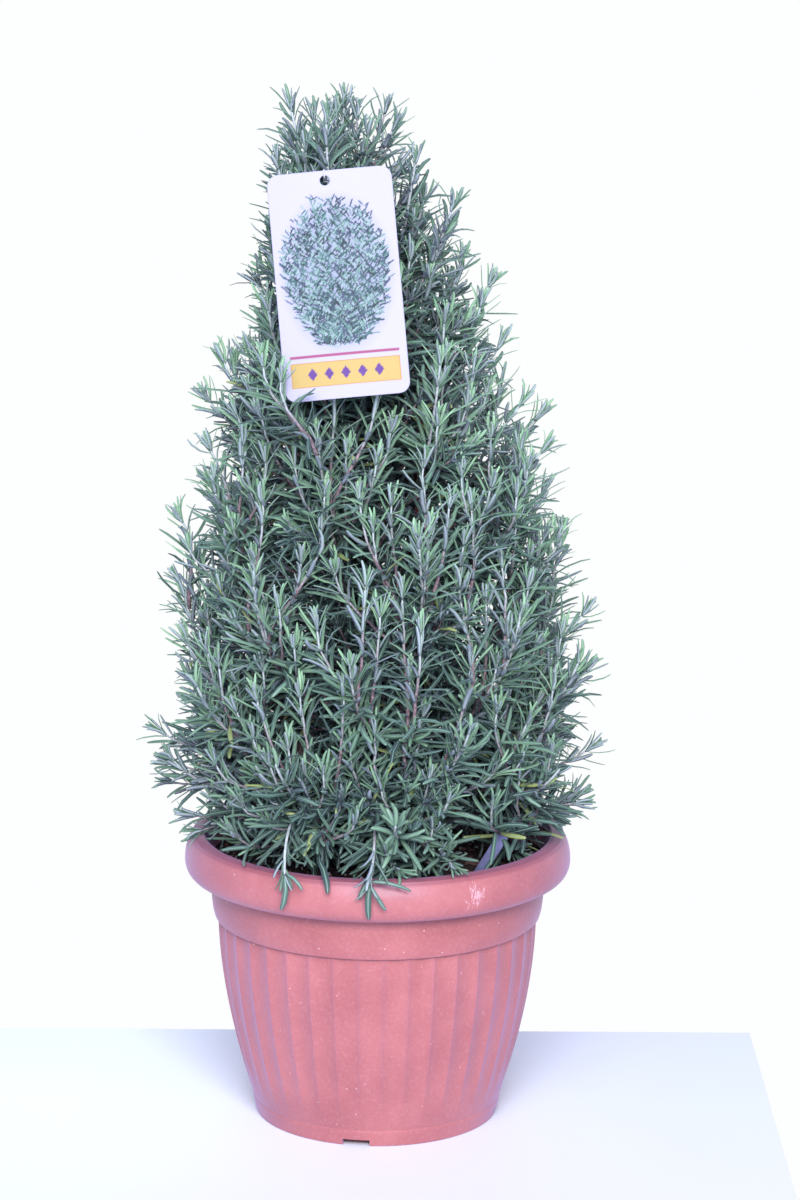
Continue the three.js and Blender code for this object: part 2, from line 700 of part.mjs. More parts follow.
// ------------------------------------------------------------------ needles
// Needles rise from the buds, tips of the shoots first. One that would cross something is bent
// or shortened, and left off where nothing fits.
const NEEDLE_TRIES = [
  [0, 0, 1], [8, 0, 1], [-8, 0, 1], [0, 14, 1], [0, -14, 1], [12, 12, 0.9], [12, -12, 0.9],
  [-12, 12, 0.9], [-12, -12, 0.9], [20, 0, 0.8], [-16, 0, 0.8], [6, 24, 0.75], [6, -24, 0.75],
  [0, 0, 0.6], [14, 0, 0.5], [-10, 0, 0.5],
];

function growNeedles(sprays) {
  const all = sprays.flatMap((spray) => spray.buds.map((bud) => ({ ...bud, spray })));
  all.sort((p, q) => p.toTip - q.toTip);
  for (const bud of all) {
    if (!bud.leafy || !growNeedle(bud)) bud.skin.faces.push(bud.triangle);
  }
}

function growNeedle({ skin, triangle, centre, axis, toTip, spray }) {
  const root = skin.middle(triangle);
  const arm = root.clone().sub(centre);
  const out = arm.addScaledVector(axis, -arm.dot(axis)).normalize();
  const age = THREE.MathUtils.smoothstep(toTip, 0, 34);
  const splay = THREE.MathUtils.lerp(20, 52, age) + 10 * (spray.draw() - 0.5);
  const length = THREE.MathUtils.lerp(TIP_NEEDLE_LENGTH, NEEDLE_LENGTH, age)
    * (0.88 + 0.24 * spray.draw());
  for (const [opening, turn, share] of NEEDLE_TRIES) {
    const angle = rad(splay + opening);
    const side = out.clone().applyAxisAngle(axis, rad(turn));
    const heading = side.multiplyScalar(Math.sin(angle)).addScaledVector(axis, Math.cos(angle));
    const size = Math.max(SHORTEST_NEEDLE, length * share);
    const tip = root.clone().addScaledVector(heading, size);
    const rod = {
      a: root, b: tip, ra: NEEDLE_ROOT_RADIUS, rb: 0.1, owner: skin.owner, root: centre,
    };
    const outer = { ...rod, a: root.clone().lerp(tip, 0.3), ra: NEEDLE_ROOT_RADIUS * 0.7 };
    if (tip.z > PLANT_TOP || !surroundings.clearOfSolids(rod, 0.6)) continue;
    if (surroundings.room(rod, NEEDLE_GAP, (o) => o.owner === skin.owner) < NEEDLE_GAP) continue;
    if (surroundings.room(outer, 0.25, (o) => isNeighbour(o, skin.owner, centre)) < 0.25) continue;
    surroundings.addRod(rod);
    skin.spike(triangle, tip);
    return true;
  }
  return false;
}

// parts of the same spray that a needle joins, so that their touching is no crossing
function isNeighbour(other, owner, centre) {
  if (other.owner !== owner) return true;
  if (other.root) return other.root.distanceTo(centre) < LEAFY_STEP * 1.4;
  return Math.min(other.a.distanceTo(centre), other.b.distanceTo(centre)) < 9;
}

// ------------------------------------------------------------------ soil
function makeSoil() {
  const edgeRadius = insideRadius(SOIL_EDGE_LEVEL) - CLEARANCE;
  const plain = (radius, level, rough = 0) => ({ radius, level, sides: FLUTES / 2, rough });
  const walls = INSIDE_LEVELS.map((level) => plain(insideRadius(level) - CLEARANCE, level));
  const top = [0.8, 0.55, 0.3].map((share) => plain(
    edgeRadius * share, SOIL_EDGE_LEVEL + SOIL_CROWN * (1 - share), SOIL_ROUGHNESS,
  ));
  const body = turned([
    plain(0, FLOOR_TOP + CLEARANCE),
    plain(insideRadius(INSIDE_LEVELS[0]) - 4 - CLEARANCE, FLOOR_TOP + CLEARANCE),
    ...walls,
    { ...plain(edgeRadius, SOIL_EDGE_LEVEL), sides: FLUTES },
    ...top,
    plain(0, SOIL_EDGE_LEVEL + SOIL_CROWN),
  ]);
  const holes = stemFeet.map(({ centre, radius }) => uprightCylinder(
    (radius + CLEARANCE) / Math.cos(Math.PI / STEM_HOLE_SIDES),
    STEM_FOOT_LEVEL - CLEARANCE, POT_HEIGHT + 20, STEM_HOLE_SIDES, centre,
  ));
  const slot = LABEL_SIZE.clone().addScalar(2 * CLEARANCE);
  holes.push(toSolid(new THREE.BoxGeometry(slot.x, slot.y, slot.z), labelFrame()));
  place('soil', cut(body, holes), FINISH.soil);
}

// ------------------------------------------------------------------ plant label
function labelFrame() {
  const frame = new THREE.Matrix4().makeRotationZ(rad(LABEL_TURN));
  frame.multiply(new THREE.Matrix4().makeRotationY(rad(LABEL_LEAN)));
  const middleOfLabel = new THREE.Vector3(0, 0, LABEL_SIZE.z / 2).applyMatrix4(frame).add(LABEL_FOOT);
  return frame.setPosition(middleOfLabel);
}

// a narrow strip of plastic with a pointed foot, pushed into the soil at a slant
function makeLabel() {
  const [w, h] = [LABEL_SIZE.x / 2, LABEL_SIZE.z / 2];
  const outline = new THREE.Shape();
  outline.moveTo(0, -h);
  outline.lineTo(w, -h + 14);
  outline.lineTo(w, h - 2);
  outline.lineTo(w - 2, h);
  outline.lineTo(-w + 2, h);
  outline.lineTo(-w, h - 2);
  outline.lineTo(-w, -h + 14);
  outline.closePath();
  const strip = new THREE.ExtrudeGeometry(outline, { depth: LABEL_SIZE.y, bevelEnabled: false });
  strip.translate(0, 0, -LABEL_SIZE.y / 2).rotateX(Math.PI / 2);
  const mesh = place('plant_label', strip, FINISH.label);
  mesh.applyMatrix4(labelFrame());
  surroundings.addSlab(labelFrame(), LABEL_SIZE.clone().multiplyScalar(0.5));
}

// ------------------------------------------------------------------ hang tag and tie
function tagFrame() {
  const [tilt, lean] = [rad(TAG_TILT), rad(TAG_LEAN)];
  const right = new THREE.Vector3(Math.cos(tilt), 0, Math.sin(tilt));
  const upward = new THREE.Vector3(
    -Math.sin(tilt) * Math.cos(lean), Math.sin(lean), Math.cos(tilt) * Math.cos(lean),
  );
  return new THREE.Matrix4()
    .makeBasis(right, upward, right.clone().cross(upward))
    .setPosition(TAG_CENTRE);
}

function makeTag() {
  const [w, h, c] = [TAG_WIDTH / 2, TAG_HEIGHT / 2, TAG_CORNER];
  const outline = new THREE.Shape();
  outline.absarc(w - c, h - c, c, 0, Math.PI / 2);
  outline.absarc(-w + c, h - c, c, Math.PI / 2, Math.PI);
  outline.absarc(-w + c, -h + c, c, Math.PI, 1.5 * Math.PI);
  outline.absarc(w - c, -h + c, c, 1.5 * Math.PI, 2 * Math.PI);
  outline.closePath();
  const hole = new THREE.Path();
  hole.absarc(TAG_HOLE.x, TAG_HOLE.y, TAG_HOLE_RADIUS, 0, 2 * Math.PI, true);
  outline.holes.push(hole);
  const card = new THREE.ExtrudeGeometry(outline, {
    depth: TAG_THICKNESS, bevelEnabled: false, curveSegments: 4,
  });
  card.translate(0, 0, -TAG_THICKNESS / 2);
  place('hang_tag', card, FINISH.card).applyMatrix4(tagFrame());
  surroundings.addSlab(tagFrame(), new THREE.Vector3(w, h, TAG_THICKNESS / 2));
}

// a thin tie: through the tag's hole, over its top edge and round the shoot behind it
function makeTie(shoot) {
  const frame = tagFrame();
  const onTag = (x, y, z) => new THREE.Vector3(TAG_HOLE.x + x, y, z).applyMatrix4(frame);
  const behindCard = TAG_THICKNESS / 2 + TIE_RADIUS + CLEARANCE;
  const inHole = TAG_HOLE.y + TAG_HOLE_RADIUS - TIE_RADIUS - CLEARANCE;
  const overEdge = TAG_HEIGHT / 2 + TIE_RADIUS + CLEARANCE;
  const stem = shoot.getSpacedPoints(200)
    .reduce((p, q) => (Math.abs(q.z - TIE_LEVEL) < Math.abs(p.z - TIE_LEVEL) ? q : p));
  const back = stem.clone().sub(onTag(0, inHole, 0)).setZ(0).normalize();
  const left = UP.clone().cross(back);
  const hug = SPRAY_RADIUS + TIE_RADIUS + 2 * CLEARANCE;
  const round = (turn) => stem.clone()
    .addScaledVector(back, hug * Math.cos(rad(turn)))
    .addScaledVector(left, hug * Math.sin(rad(turn)));
  const points = [
    onTag(0, inHole, 0), onTag(0, inHole + 0.4, behindCard + 0.2), onTag(0, overEdge - 1, behindCard),
    onTag(0, overEdge, 0), onTag(0.6, overEdge - 0.8, -behindCard - 1),
    round(115), round(60), round(0), round(-60), round(-115), onTag(-0.4, inHole, -behindCard - 1),
  ];
  const curve = new THREE.CatmullRomCurve3(points, true);
  const steps = 40;
  const sides = 4;
  const { normals, binormals } = curve.computeFrenetFrames(steps, true);
  const corners = [];
  const rings = Array.from({ length: steps }, (_, i) => Array.from({ length: sides }, (__, j) => {
    const turn = (2 * Math.PI * j) / sides;
    const offset = normals[i].clone().multiplyScalar(Math.cos(turn))
      .addScaledVector(binormals[i], Math.sin(turn));
    return corners.push(curve.getPointAt(i / steps).addScaledVector(offset, TIE_RADIUS)) - 1;
  }));
  const faces = [];
  rings.forEach((ring, i) => stitch(faces, ring, rings[(i + 1) % steps]));
  place('tag_tie', toGeometry(corners, faces), FINISH.tie);
  surroundings.addRoute([...curve.getSpacedPoints(40)], TIE_RADIUS, 'tag_tie');
}

// ------------------------------------------------------------------ assembly
makePot();
makeTag();
makeLabel();
growWoodyStems();
makeSoil();
const sprays = growSprays();
growNeedles(sprays);
for (const { name, skin, fresh, tip } of sprays) {
  const age = tip.z < 300 ? FINISH.oldLeaf : FINISH.leaf;
  place(name, toGeometry(skin.points, skin.faces), fresh ? FINISH.freshLeaf : age);
}

export default model;
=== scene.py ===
import math

import bmesh
import bpy
import numpy as np
from mathutils import Matrix, Vector, noise


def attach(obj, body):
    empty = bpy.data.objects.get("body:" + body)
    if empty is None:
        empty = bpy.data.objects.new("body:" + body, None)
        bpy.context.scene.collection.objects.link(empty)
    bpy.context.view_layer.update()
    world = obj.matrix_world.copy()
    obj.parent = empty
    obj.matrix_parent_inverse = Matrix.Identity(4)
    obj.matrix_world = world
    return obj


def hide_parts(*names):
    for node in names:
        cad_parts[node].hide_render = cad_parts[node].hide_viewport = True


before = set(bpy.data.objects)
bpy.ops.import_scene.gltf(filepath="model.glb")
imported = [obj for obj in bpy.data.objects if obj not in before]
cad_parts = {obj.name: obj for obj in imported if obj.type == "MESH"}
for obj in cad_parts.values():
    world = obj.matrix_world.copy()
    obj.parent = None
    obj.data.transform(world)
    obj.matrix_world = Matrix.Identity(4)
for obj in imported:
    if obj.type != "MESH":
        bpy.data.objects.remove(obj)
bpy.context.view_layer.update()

# ---------------------------------------------------------------- pot
# The pot is injection-moulded polypropylene, coloured like terracotta: a low foot with four notches, a
# swelling body with forty shallow flutes, a plain band and a rim that curls out and down, all one body.
MM = 0.001
BODY_BOTTOM, BODY_TOP = 11.0, 131.0
FLUTES = 40
FLUTE_DEPTH = 1.5
FLUTE_TURN = math.radians(-90 + 2.7)  # a sharp edge stands just right of the front
STEPS_PER_FLUTE = 12
RIM_RADIUS, RIM_LEVEL = 123.5, 168.0  # where the rim is widest
CURL_RADIUS, CURL_LEVEL = 118.0, 159.6  # the lower edge of the rim, clear of the band
LEDGE_RADIUS, LEDGE_LEVEL = 118.4, 184.9  # the flat ledge on top of the rim ends in a fine step
INNER_WALL = [(131.0, 99.1), (137.0, 102.4), (158.0, 105.3), (166.0, 108.54), (184.3, 110.7)]
NOTCH_TURN = -99  # degrees, the notch nearest the front
DRAIN_AT, DRAIN_RADIUS = 58.0, 6.0


def linear(colour):
    """An sRGB hex colour as linear red, green, blue and alpha."""
    parts = [int(colour[i:i + 2], 16) / 255 for i in (1, 3, 5)]
    return [p / 12.92 if p <= 0.04045 else ((p + 0.055) / 1.055) ** 2.4 for p in parts] + [1.0]


def connect(node, settings):
    """Settings name a node's properties and sockets. A socket takes a number, a hex colour or an output."""
    for key, value in settings.items():
        if key == "stops":
            while len(node.color_ramp.elements) < len(value):
                node.color_ramp.elements.new(1.0)
            for element, (place, colour) in zip(node.color_ramp.elements, value):
                element.position = place
                element.color = linear(colour)
        elif isinstance(value, bpy.types.NodeSocket):
            node.id_data.links.new(value, node.inputs[key])
        elif isinstance(key, int) or key in node.inputs:
            node.inputs[key].default_value = linear(value) if isinstance(value, str) else value
        else:
            setattr(node, key, value)


MAIN_OUTPUT = {"Mix": 2, "TexCoord": "Object", "Attribute": "Fac", "TexWave": "Fac"}  # else the first


def add(tree, kind, settings):
    """Adds a node with its settings and links, and gives back its main output. Mixes are of colours."""
    node = tree.nodes.new("ShaderNode" + kind)
    if kind == "Mix":
        node.data_type = "RGBA"
    connect(node, settings)
    return node.outputs[MAIN_OUTPUT.get(kind, 0)]


def finish_of(name, even):
    """A new material, its node tree, its shader set to even values, and the place on the piece."""
    made = bpy.data.materials.new(name)
    made.use_nodes = True
    shader = made.node_tree.nodes["Principled BSDF"]
    connect(shader, even)
    return made, made.node_tree, shader, add(made.node_tree, "TexCoord", {})


def stand(name, data):
    """Puts a mesh, a lamp or the camera into the scene."""
    thing = bpy.data.objects.new(name, data)
    bpy.context.scene.collection.objects.link(thing)
    return thing


def piece(name, points, faces, made):
    """A smooth closed mesh on the root body. Points are in mm, faces a list of arrays of corners."""
    corners = np.concatenate([f.ravel() for f in faces])
    sizes = np.concatenate([np.full(len(f), f.shape[1]) for f in faces])
    mesh = bpy.data.meshes.new(name)
    mesh.vertices.add(len(points))
    mesh.vertices.foreach_set("co", (np.asarray(points, float) * MM).ravel())
    mesh.loops.add(len(corners))
    mesh.loops.foreach_set("vertex_index", corners.astype(np.int32))
    mesh.polygons.add(len(sizes))
    mesh.polygons.foreach_set("loop_start", np.cumsum(sizes, dtype=np.int32) - sizes.astype(np.int32))
    mesh.polygons.foreach_set("use_smooth", np.ones(len(sizes), bool))
    mesh.update(calc_edges=True)
    mesh.validate()
    mesh.materials.append(made)
    body = stand(name, mesh)
    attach(body, "root")
    return body


def settle(body):
    """Bakes the piece's modifiers into its mesh."""
    dressed = body.evaluated_get(bpy.context.evaluated_depsgraph_get())
    mesh = bpy.data.meshes.new_from_object(dressed)
    body.modifiers.clear()
    body.data = mesh


def sleeve(rings, columns):
    """Numbers of the points in each of several rings, and the quads between the rings."""
    at = np.arange(rings * columns).reshape(rings, columns)
    nxt = np.roll(at, -1, 1)
    return at, np.stack([at[:-1], nxt[:-1], nxt[1:], at[1:]], -1).reshape(-1, 4)


def turned(rows, columns, turn=0.0):
    """Rings of a closed turned body, from the middle of its underside out and round to its inside.
    A row is (radius, level), where either may be an array with a value for each column."""
    angles = turn + np.arange(columns) * (2 * math.pi / columns)
    rings = [np.stack([r * np.cos(angles), r * np.sin(angles), z + 0 * angles], 1) for r, z in rows]
    middle = [[0, 0, np.mean(rows[0][1])], [0, 0, np.mean(rows[-1][1])]]
    points = np.concatenate([*rings, middle])
    at, quads = sleeve(len(rows), columns)
    low, high = len(points) - 2, len(points) - 1
    caps = [
        np.stack([np.roll(at[0], -1), at[0], np.full(columns, low)], 1),
        np.stack([at[-1], np.roll(at[-1], -1), np.full(columns, high)], 1),
    ]
    return points, [quads, np.concatenate(caps)]


def body_radius(level):
    """The pot's outside, over the edges between its flutes."""
    return 102.3 - 26.1 * (1 - min(level / BODY_TOP, 1)) ** 1.8


def inside_radius(level):
    if level <= BODY_TOP:
        return body_radius(level) - 3.2
    return float(np.interp(level, *zip(*INNER_WALL)))


def ease(value, low, high):
    """Goes from 0 at low to 1 at high, with soft ends."""
    share = np.clip((value - low) / (high - low), 0, 1)
    return share * share * (3 - 2 * share)


across_flute = (np.arange(FLUTES * STEPS_PER_FLUTE) % STEPS_PER_FLUTE) / STEPS_PER_FLUTE
hollow = FLUTE_DEPTH * (1 - (2 * across_flute - 1) ** 2)  # an arc between two sharp edges
rows = [(r, 4.5) for r in (20, 45, 71.6)] + [(72, 4.1), (72.2, 0.5), (72.8, 0.0), (77.6, 0.0)]
rows += [(78.3, 0.6), (79.2, 4.8), (79.8, 8.0), (80.1, 9.3), (80.1, 10.2)]
for level in np.concatenate([np.linspace(BODY_BOTTOM, 37, 12), np.linspace(42, 128, 20), [130.2, 130.8]]):
    rows.append((body_radius(level) - hollow * ease(level, BODY_BOTTOM, 48), level))
rows += [(103.6, 130.95), (104.1, 131.1), (104.4, 131.4), (104.6, 132), (104.9, 133.2), (105.7, 136)]
rows += [(106.4, 142), (107.0, 149), (107.6, 156), (107.8, 158), (108.0, 159.3), (108.6, 160.1)]
rows += [(110, 160.3), (113, 160.1), (116, 159.8)]
for turn in np.radians(np.linspace(-84, 0, 8)):
    rows.append((CURL_RADIUS + (RIM_RADIUS - CURL_RADIUS) * math.cos(turn),
                 RIM_LEVEL + (RIM_LEVEL - CURL_LEVEL) * math.sin(turn)))
for turn in np.radians(np.linspace(7, 56, 12)):
    rows.append((113 + (RIM_RADIUS - 113) * math.cos(turn), RIM_LEVEL + 19 * math.sin(turn)))
rows += [(LEDGE_RADIUS + 0.35, LEDGE_LEVEL - 0.75), (LEDGE_RADIUS + 0.1, LEDGE_LEVEL - 0.35)]
rows += [(LEDGE_RADIUS - 0.2, LEDGE_LEVEL - 0.1), (LEDGE_RADIUS - 0.7, LEDGE_LEVEL)]
rows += [(115, 185.5), (112.6, 185.6), (111.7, 185.4), (111.1, 185.0), (110.8, 184.3)]
down_inside = (180, 174, 166, 162, 158, 146, 137, 134, 131, 110, 80, 50, 30, 20, 14)
rows += [(inside_radius(z), z) for z in down_inside]
rows += [(inside_radius(14) - 1.2, 10), (inside_radius(14) - 4, 7.5), (60, 7.5), (30, 7.5)]
points, faces = turned(rows, FLUTES * STEPS_PER_FLUTE, FLUTE_TURN)

# Moulded polypropylene gives the eye an even, slightly chalky pink-red with a soft wide sheen; handling
# and dried water leave pale mottling, small white specks, a scuff on the rim and a mark on the body.
terracotta, tree, shader, place = finish_of("terracotta_polypropylene", {
    "IOR": 1.52, "Specular Tint": (0.5, 0.75, 1.0, 1.0),
    "Sheen Weight": 0.32, "Sheen Roughness": 0.45, "Sheen Tint": "#B9B4FF",
})
# patches about 45 mm wide, and 2 mm clouds of dust
veil = add(tree, "TexNoise", {"Vector": place, "Scale": 22.0, "Detail": 5.0, "Roughness": 0.62})
mottle = add(tree, "TexNoise", {"Vector": place, "Scale": 520.0, "Detail": 3.0, "Roughness": 0.7})
body_tone = add(tree, "ValToRGB", {"Fac": veil, "stops": [(0.30, "#9F5A59"), (0.72, "#B26B69")]})
dust = add(tree, "MapRange", {"Value": mottle, "From Min": 0.5, "From Max": 0.84, "To Max": 0.6})
dusty = add(tree, "Mix", {0: dust, 6: body_tone, 7: "#BA8288"})
# a cell every 6 mm, with a white speck of 0.5 mm in some
cell = add(tree, "TexVoronoi", {"Vector": place, "Scale": 170.0, "Randomness": 1.0}).node.outputs
chance = add(tree, "SeparateColor", {"Color": cell["Color"]})
speck_size = add(tree, "MapRange", {"Value": chance, "To Min": -0.12, "To Max": 0.1})
speck = add(tree, "Math", {"operation": "LESS_THAN", 0: cell["Distance"], 1: speck_size})
specked = add(tree, "Mix", {0: speck, 6: dusty, 7: "#CDA5A6"})
# the sharp edges between the flutes are greyer and more lavender: partly wear, partly a painted sheen where
# they catch the light
spot = add(tree, "SeparateXYZ", {"Vector": place}).node.outputs
angle = add(tree, "Math", {"operation": "ARCTAN2", 0: spot["Y"], 1: spot["X"]})
flute = add(tree, "Math", {"operation": "MULTIPLY_ADD", 0: angle, 1: FLUTES / (2 * math.pi),
                           2: -FLUTE_TURN * FLUTES / (2 * math.pi)})
from_ridge = add(tree, "Math", {"operation": "PINGPONG", 0: flute, 1: 0.5})
ridge = add(tree, "MapRange", {"Value": from_ridge, "From Min": 0.13, "From Max": 0.0, "To Max": 0.22})
fluted = add(tree, "MapRange", {"Value": spot["Z"], "From Min": 0.03, "From Max": 0.08})
below = add(tree, "Math", {"operation": "LESS_THAN", 0: spot["Z"], 1: BODY_TOP * MM})
wear_and_sheen_by = add(tree, "Math", {"operation": "MULTIPLY", 0: fluted, 1: below})
wear_and_sheen_by = add(tree, "Math", {"operation": "MULTIPLY", 0: wear_and_sheen_by, 1: ridge})
# wear and painted sheen on the flute edges
toned = add(tree, "Mix", {0: wear_and_sheen_by, 6: specked, 7: "#8E5D70"})
# painted shade on the rim, which faces up away from the light: the roll a little darker, and the ledge on
# top of it much
for low, high, much, colour in ((0.158, 0.162, 0.12, "#8B5561"), (0.1819, 0.1834, 0.8, "#8A4B52")):
    above = add(tree, "MapRange", {"Value": spot["Z"], "From Min": low, "From Max": high, "To Max": much})
    toned = add(tree, "Mix", {0: above, 6: toned, 7: colour})
SCUFFS = [  # on the roll right of the front, and half way down the body: place and reach
    ((0.0607, -0.1067, 0.1735), 0.0165),
    ((0.0676, -0.0715, 0.0858), 0.0045),
]
near_scuff = -1.0  # below all that follow
for middle, reach in SCUFFS:
    off_scuff = add(tree, "VectorMath", {"operation": "SUBTRACT", 0: place, 1: middle})
    from_scuff = add(tree, "VectorMath", {"operation": "LENGTH", 0: off_scuff}).node.outputs["Value"]
    close = add(tree, "MapRange", {"Value": from_scuff, "From Min": reach, "From Max": 0.001,
                                   "To Min": -0.22, "To Max": 0.2})
    near_scuff = add(tree, "Math", {"operation": "MAXIMUM", 0: close, 1: near_scuff})
# a scuff's strokes are 2 mm wide and 5 mm long
drawn_down = add(tree, "Mapping", {"Vector": place, "Scale": (1.0, 1.0, 0.45)})
scratches = add(tree, "TexNoise", {"Vector": drawn_down, "Scale": 330.0, "Detail": 4.0, "Distortion": 2.4})
torn = add(tree, "Math", {"operation": "ADD", 0: near_scuff, 1: scratches})
stroke = add(tree, "MapRange", {"Value": torn, "From Min": 0.6, "From Max": 0.72, "To Max": 0.8})
scuffed = add(tree, "Mix", {0: stroke, 6: toned, 7: "#CBA0A6"})
dull = add(tree, "MapRange", {"Value": veil, "From Min": 0.3, "From Max": 0.75,
                              "To Min": 0.36, "To Max": 0.48})
# 0.6 mm mould grain, coarser than real so that it shows
grain = add(tree, "TexNoise", {"Vector": place, "Scale": 1600.0, "Detail": 2.0})
bump = add(tree, "Bump", {"Height": grain, "Strength": 0.12, "Distance": 0.0002})
connect(shader, {"Base Color": scuffed, "Roughness": dull, "Normal": bump})

pot = piece("fluted_pot", points, faces, terracotta)
tool_points, tool_faces = [], []
for quarter in range(4):
    turn = math.radians(NOTCH_TURN + 90 * quarter)
    out = np.array([math.cos(turn), math.sin(turn), 0])
    side = np.array([-math.sin(turn), math.cos(turn), 0])
    corner = len(tool_points)
    for up in (-4, 4.3):
        for o, s in ((66, -8.6), (90, -8.6), (90, 8.6), (66, 8.6)):
            tool_points.append(out * o + side * s + [0, 0, up])
    for a, b, c, d in ((3, 2, 1, 0), (4, 5, 6, 7), (0, 1, 5, 4), (1, 2, 6, 5), (2, 3, 7, 6), (3, 0, 4, 7)):
        tool_faces.append([corner + a, corner + b, corner + c, corner + d])
    drill, sides = turned([(DRAIN_RADIUS, 2.0), (DRAIN_RADIUS, 10.0)], 32)
    for ring in sides:
        tool_faces += (ring + len(tool_points)).tolist()
    tool_points += list(drill + out * DRAIN_AT)
cutters = bpy.data.meshes.new("pot_cutters")
cutters.from_pydata([Vector(p) * MM for p in tool_points], [], tool_faces)
cutters = stand("pot_cutters", cutters)
cut = pot.modifiers.new("notches_and_drains", "BOOLEAN")
cut.solver = "MANIFOLD"
cut.object = cutters
settle(pot)
bpy.data.objects.remove(cutters)
pot.data.set_sharp_from_angle(angle=math.radians(17))
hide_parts("pot")

# ---------------------------------------------------------------- potting mix
# Peat and bark potting mix, poured in and watered down to about 20 mm under the lip, a little heaped round
# the stems. Loose crumbs, bark chips and white grains of perlite lie on it.
SOIL_EDGE, SOIL_CROWN = 166.0, 9.0
GAP = 0.35  # between the mix and the pot
CRUMBS = 900


def clump(x, y, size):
    """Height of the loose surface at a place in mm, from lumps about `size` mm wide."""
    return noise.fractal(Vector((x / size, y / size, 7.3)), 0.9, 2.1, 4)


def soil_level(x, y):
    """Height of the mix, whose lumps get lower towards the pot's wall."""
    edge = math.hypot(x, y) / inside_radius(SOIL_EDGE)
    lumps = 2.1 * clump(x, y, 14) + 0.9 * clump(x, y, 4)
    return SOIL_EDGE + SOIL_CROWN * (1 - edge) + lumps * (1 - 0.6 * edge ** 6)


COLUMNS = 300
angles = np.arange(COLUMNS) * (2 * math.pi / COLUMNS)
rows = [(r, 7.9) for r in (20, 45, inside_radius(14) - 4 - GAP)]
rows += [(inside_radius(z) - GAP, z) for z in (14, 34, 70, 110, 131, 137, 158, 162)]
for radius in np.linspace(inside_radius(SOIL_EDGE) - GAP, 2.0, 62):
    heights = [soil_level(radius * math.cos(a), radius * math.sin(a)) for a in angles]
    rows.append((radius, np.array(heights)))
points, faces = turned(rows, COLUMNS)
kinds = [np.zeros(len(points))]  # 0 peat, 0.5 bark, 1 perlite

draw = np.random.default_rng(11)
shape = bmesh.new()
bmesh.ops.create_icosphere(shape, subdivisions=2, radius=1.0)
crumb_points = np.array([v.co for v in shape.verts])
crumb_faces = np.array([[v.index for v in f.verts] for f in shape.faces])
shape.free()
crumbs, count = [points], len(points)
crumb_corners = []
for _ in range(CRUMBS):
    radius = inside_radius(SOIL_EDGE) * math.sqrt(draw.uniform(0.02, 0.93))
    turn = draw.uniform(0, 2 * math.pi)
    x, y = radius * math.cos(turn), radius * math.sin(turn)
    kind = draw.choice([0.0, 0.5, 1.0], p=[0.46, 0.34, 0.20])
    size = np.array({0.0: [1.7, 1.5, 1.2], 0.5: [3.4, 1.6, 0.7], 1.0: [1.1, 0.9, 0.8]}[kind])
    size *= draw.uniform(0.6, 1.35)
    rough = 1 + 0.22 * draw.standard_normal((len(crumb_points), 1)).clip(-1.4, 1.4)
    spin = np.array(Matrix.Rotation(draw.uniform(0, 6.3), 3, "Z")
                    @ Matrix.Rotation(draw.uniform(-0.5, 0.5), 3, "X"))
    crumbs.append((crumb_points * rough * size) @ spin.T + [x, y, soil_level(x, y) + 0.4 * size[2]])
    crumb_corners.append(crumb_faces + count)
    kinds.append(np.full(len(crumb_points), kind))
    count += len(crumb_points)

# Damp peat gives the eye a near-black brown that swallows light, with paler fibres and grains.
peat, tree, shader, place = finish_of("damp_peat_and_bark", {"Roughness": 0.95, "Specular IOR Level": 0.25})
kind = add(tree, "Attribute", {"attribute_name": "grain_kind"})
# 1.4 mm fibres
fibres = add(tree, "TexNoise", {"Vector": place, "Scale": 700.0, "Detail": 6.0, "Roughness": 0.75})
dark = add(tree, "ValToRGB", {
    "Fac": fibres, "stops": [(0.34, "#1C1517"), (0.58, "#413435"), (0.76, "#776869")],
})
chip = add(tree, "ValToRGB", {"Fac": fibres, "stops": [(0.3, "#4A3130"), (0.7, "#8C6C66")]})
white = add(tree, "ValToRGB", {"Fac": fibres, "stops": [(0.3, "#A6A4AE"), (0.6, "#D6D7E0")]})
for from_kind, tones in ((0.25, chip), (0.75, white)):
    such = add(tree, "Math", {"operation": "GREATER_THAN", 0: kind, 1: from_kind})
    dark = add(tree, "Mix", {0: such, 6: dark, 7: tones})
bump = add(tree, "Bump", {"Height": fibres, "Strength": 0.8, "Distance": 0.0012})
connect(shader, {"Base Color": dark, "Normal": bump})


def paint(body, name, values):
    """Stores one number for each point of a piece."""
    body.data.attributes.new(name, "FLOAT", "POINT").data.foreach_set("value", np.asarray(values, float))


soil = piece("potting_mix", np.concatenate(crumbs), [faces[0], np.concatenate([faces[1], *crumb_corners])],
             peat)
paint(soil, "grain_kind", np.concatenate(kinds))
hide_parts("soil")

# ---------------------------------------------------------------- woody stems
# One clump of old rosemary stems rises from the mix: a leader, four tall stems and five that spread.
# Their bark is thin and fibrous, split lengthwise, grey-brown low down and purple-brown higher up.


def skin_of(node):
    """Corners in mm and triangles of a CAD node, in an order that depends only on their places."""
    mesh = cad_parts[node].data
    mesh.calc_loop_triangles()
    raw = np.array([v.co for v in mesh.vertices]) / MM
    places, index = np.unique(np.round(raw, 3), axis=0, return_inverse=True)
    corners = index.ravel()[np.array([t.vertices for t in mesh.loop_triangles])]
    first = corners.argmin(1)  # each triangle starts at its lowest corner, so that sorting is stable
    corners = np.stack([corners[np.arange(len(corners)), (first + i) % 3] for i in range(3)], 1)
    return places, np.unique(corners, axis=0)


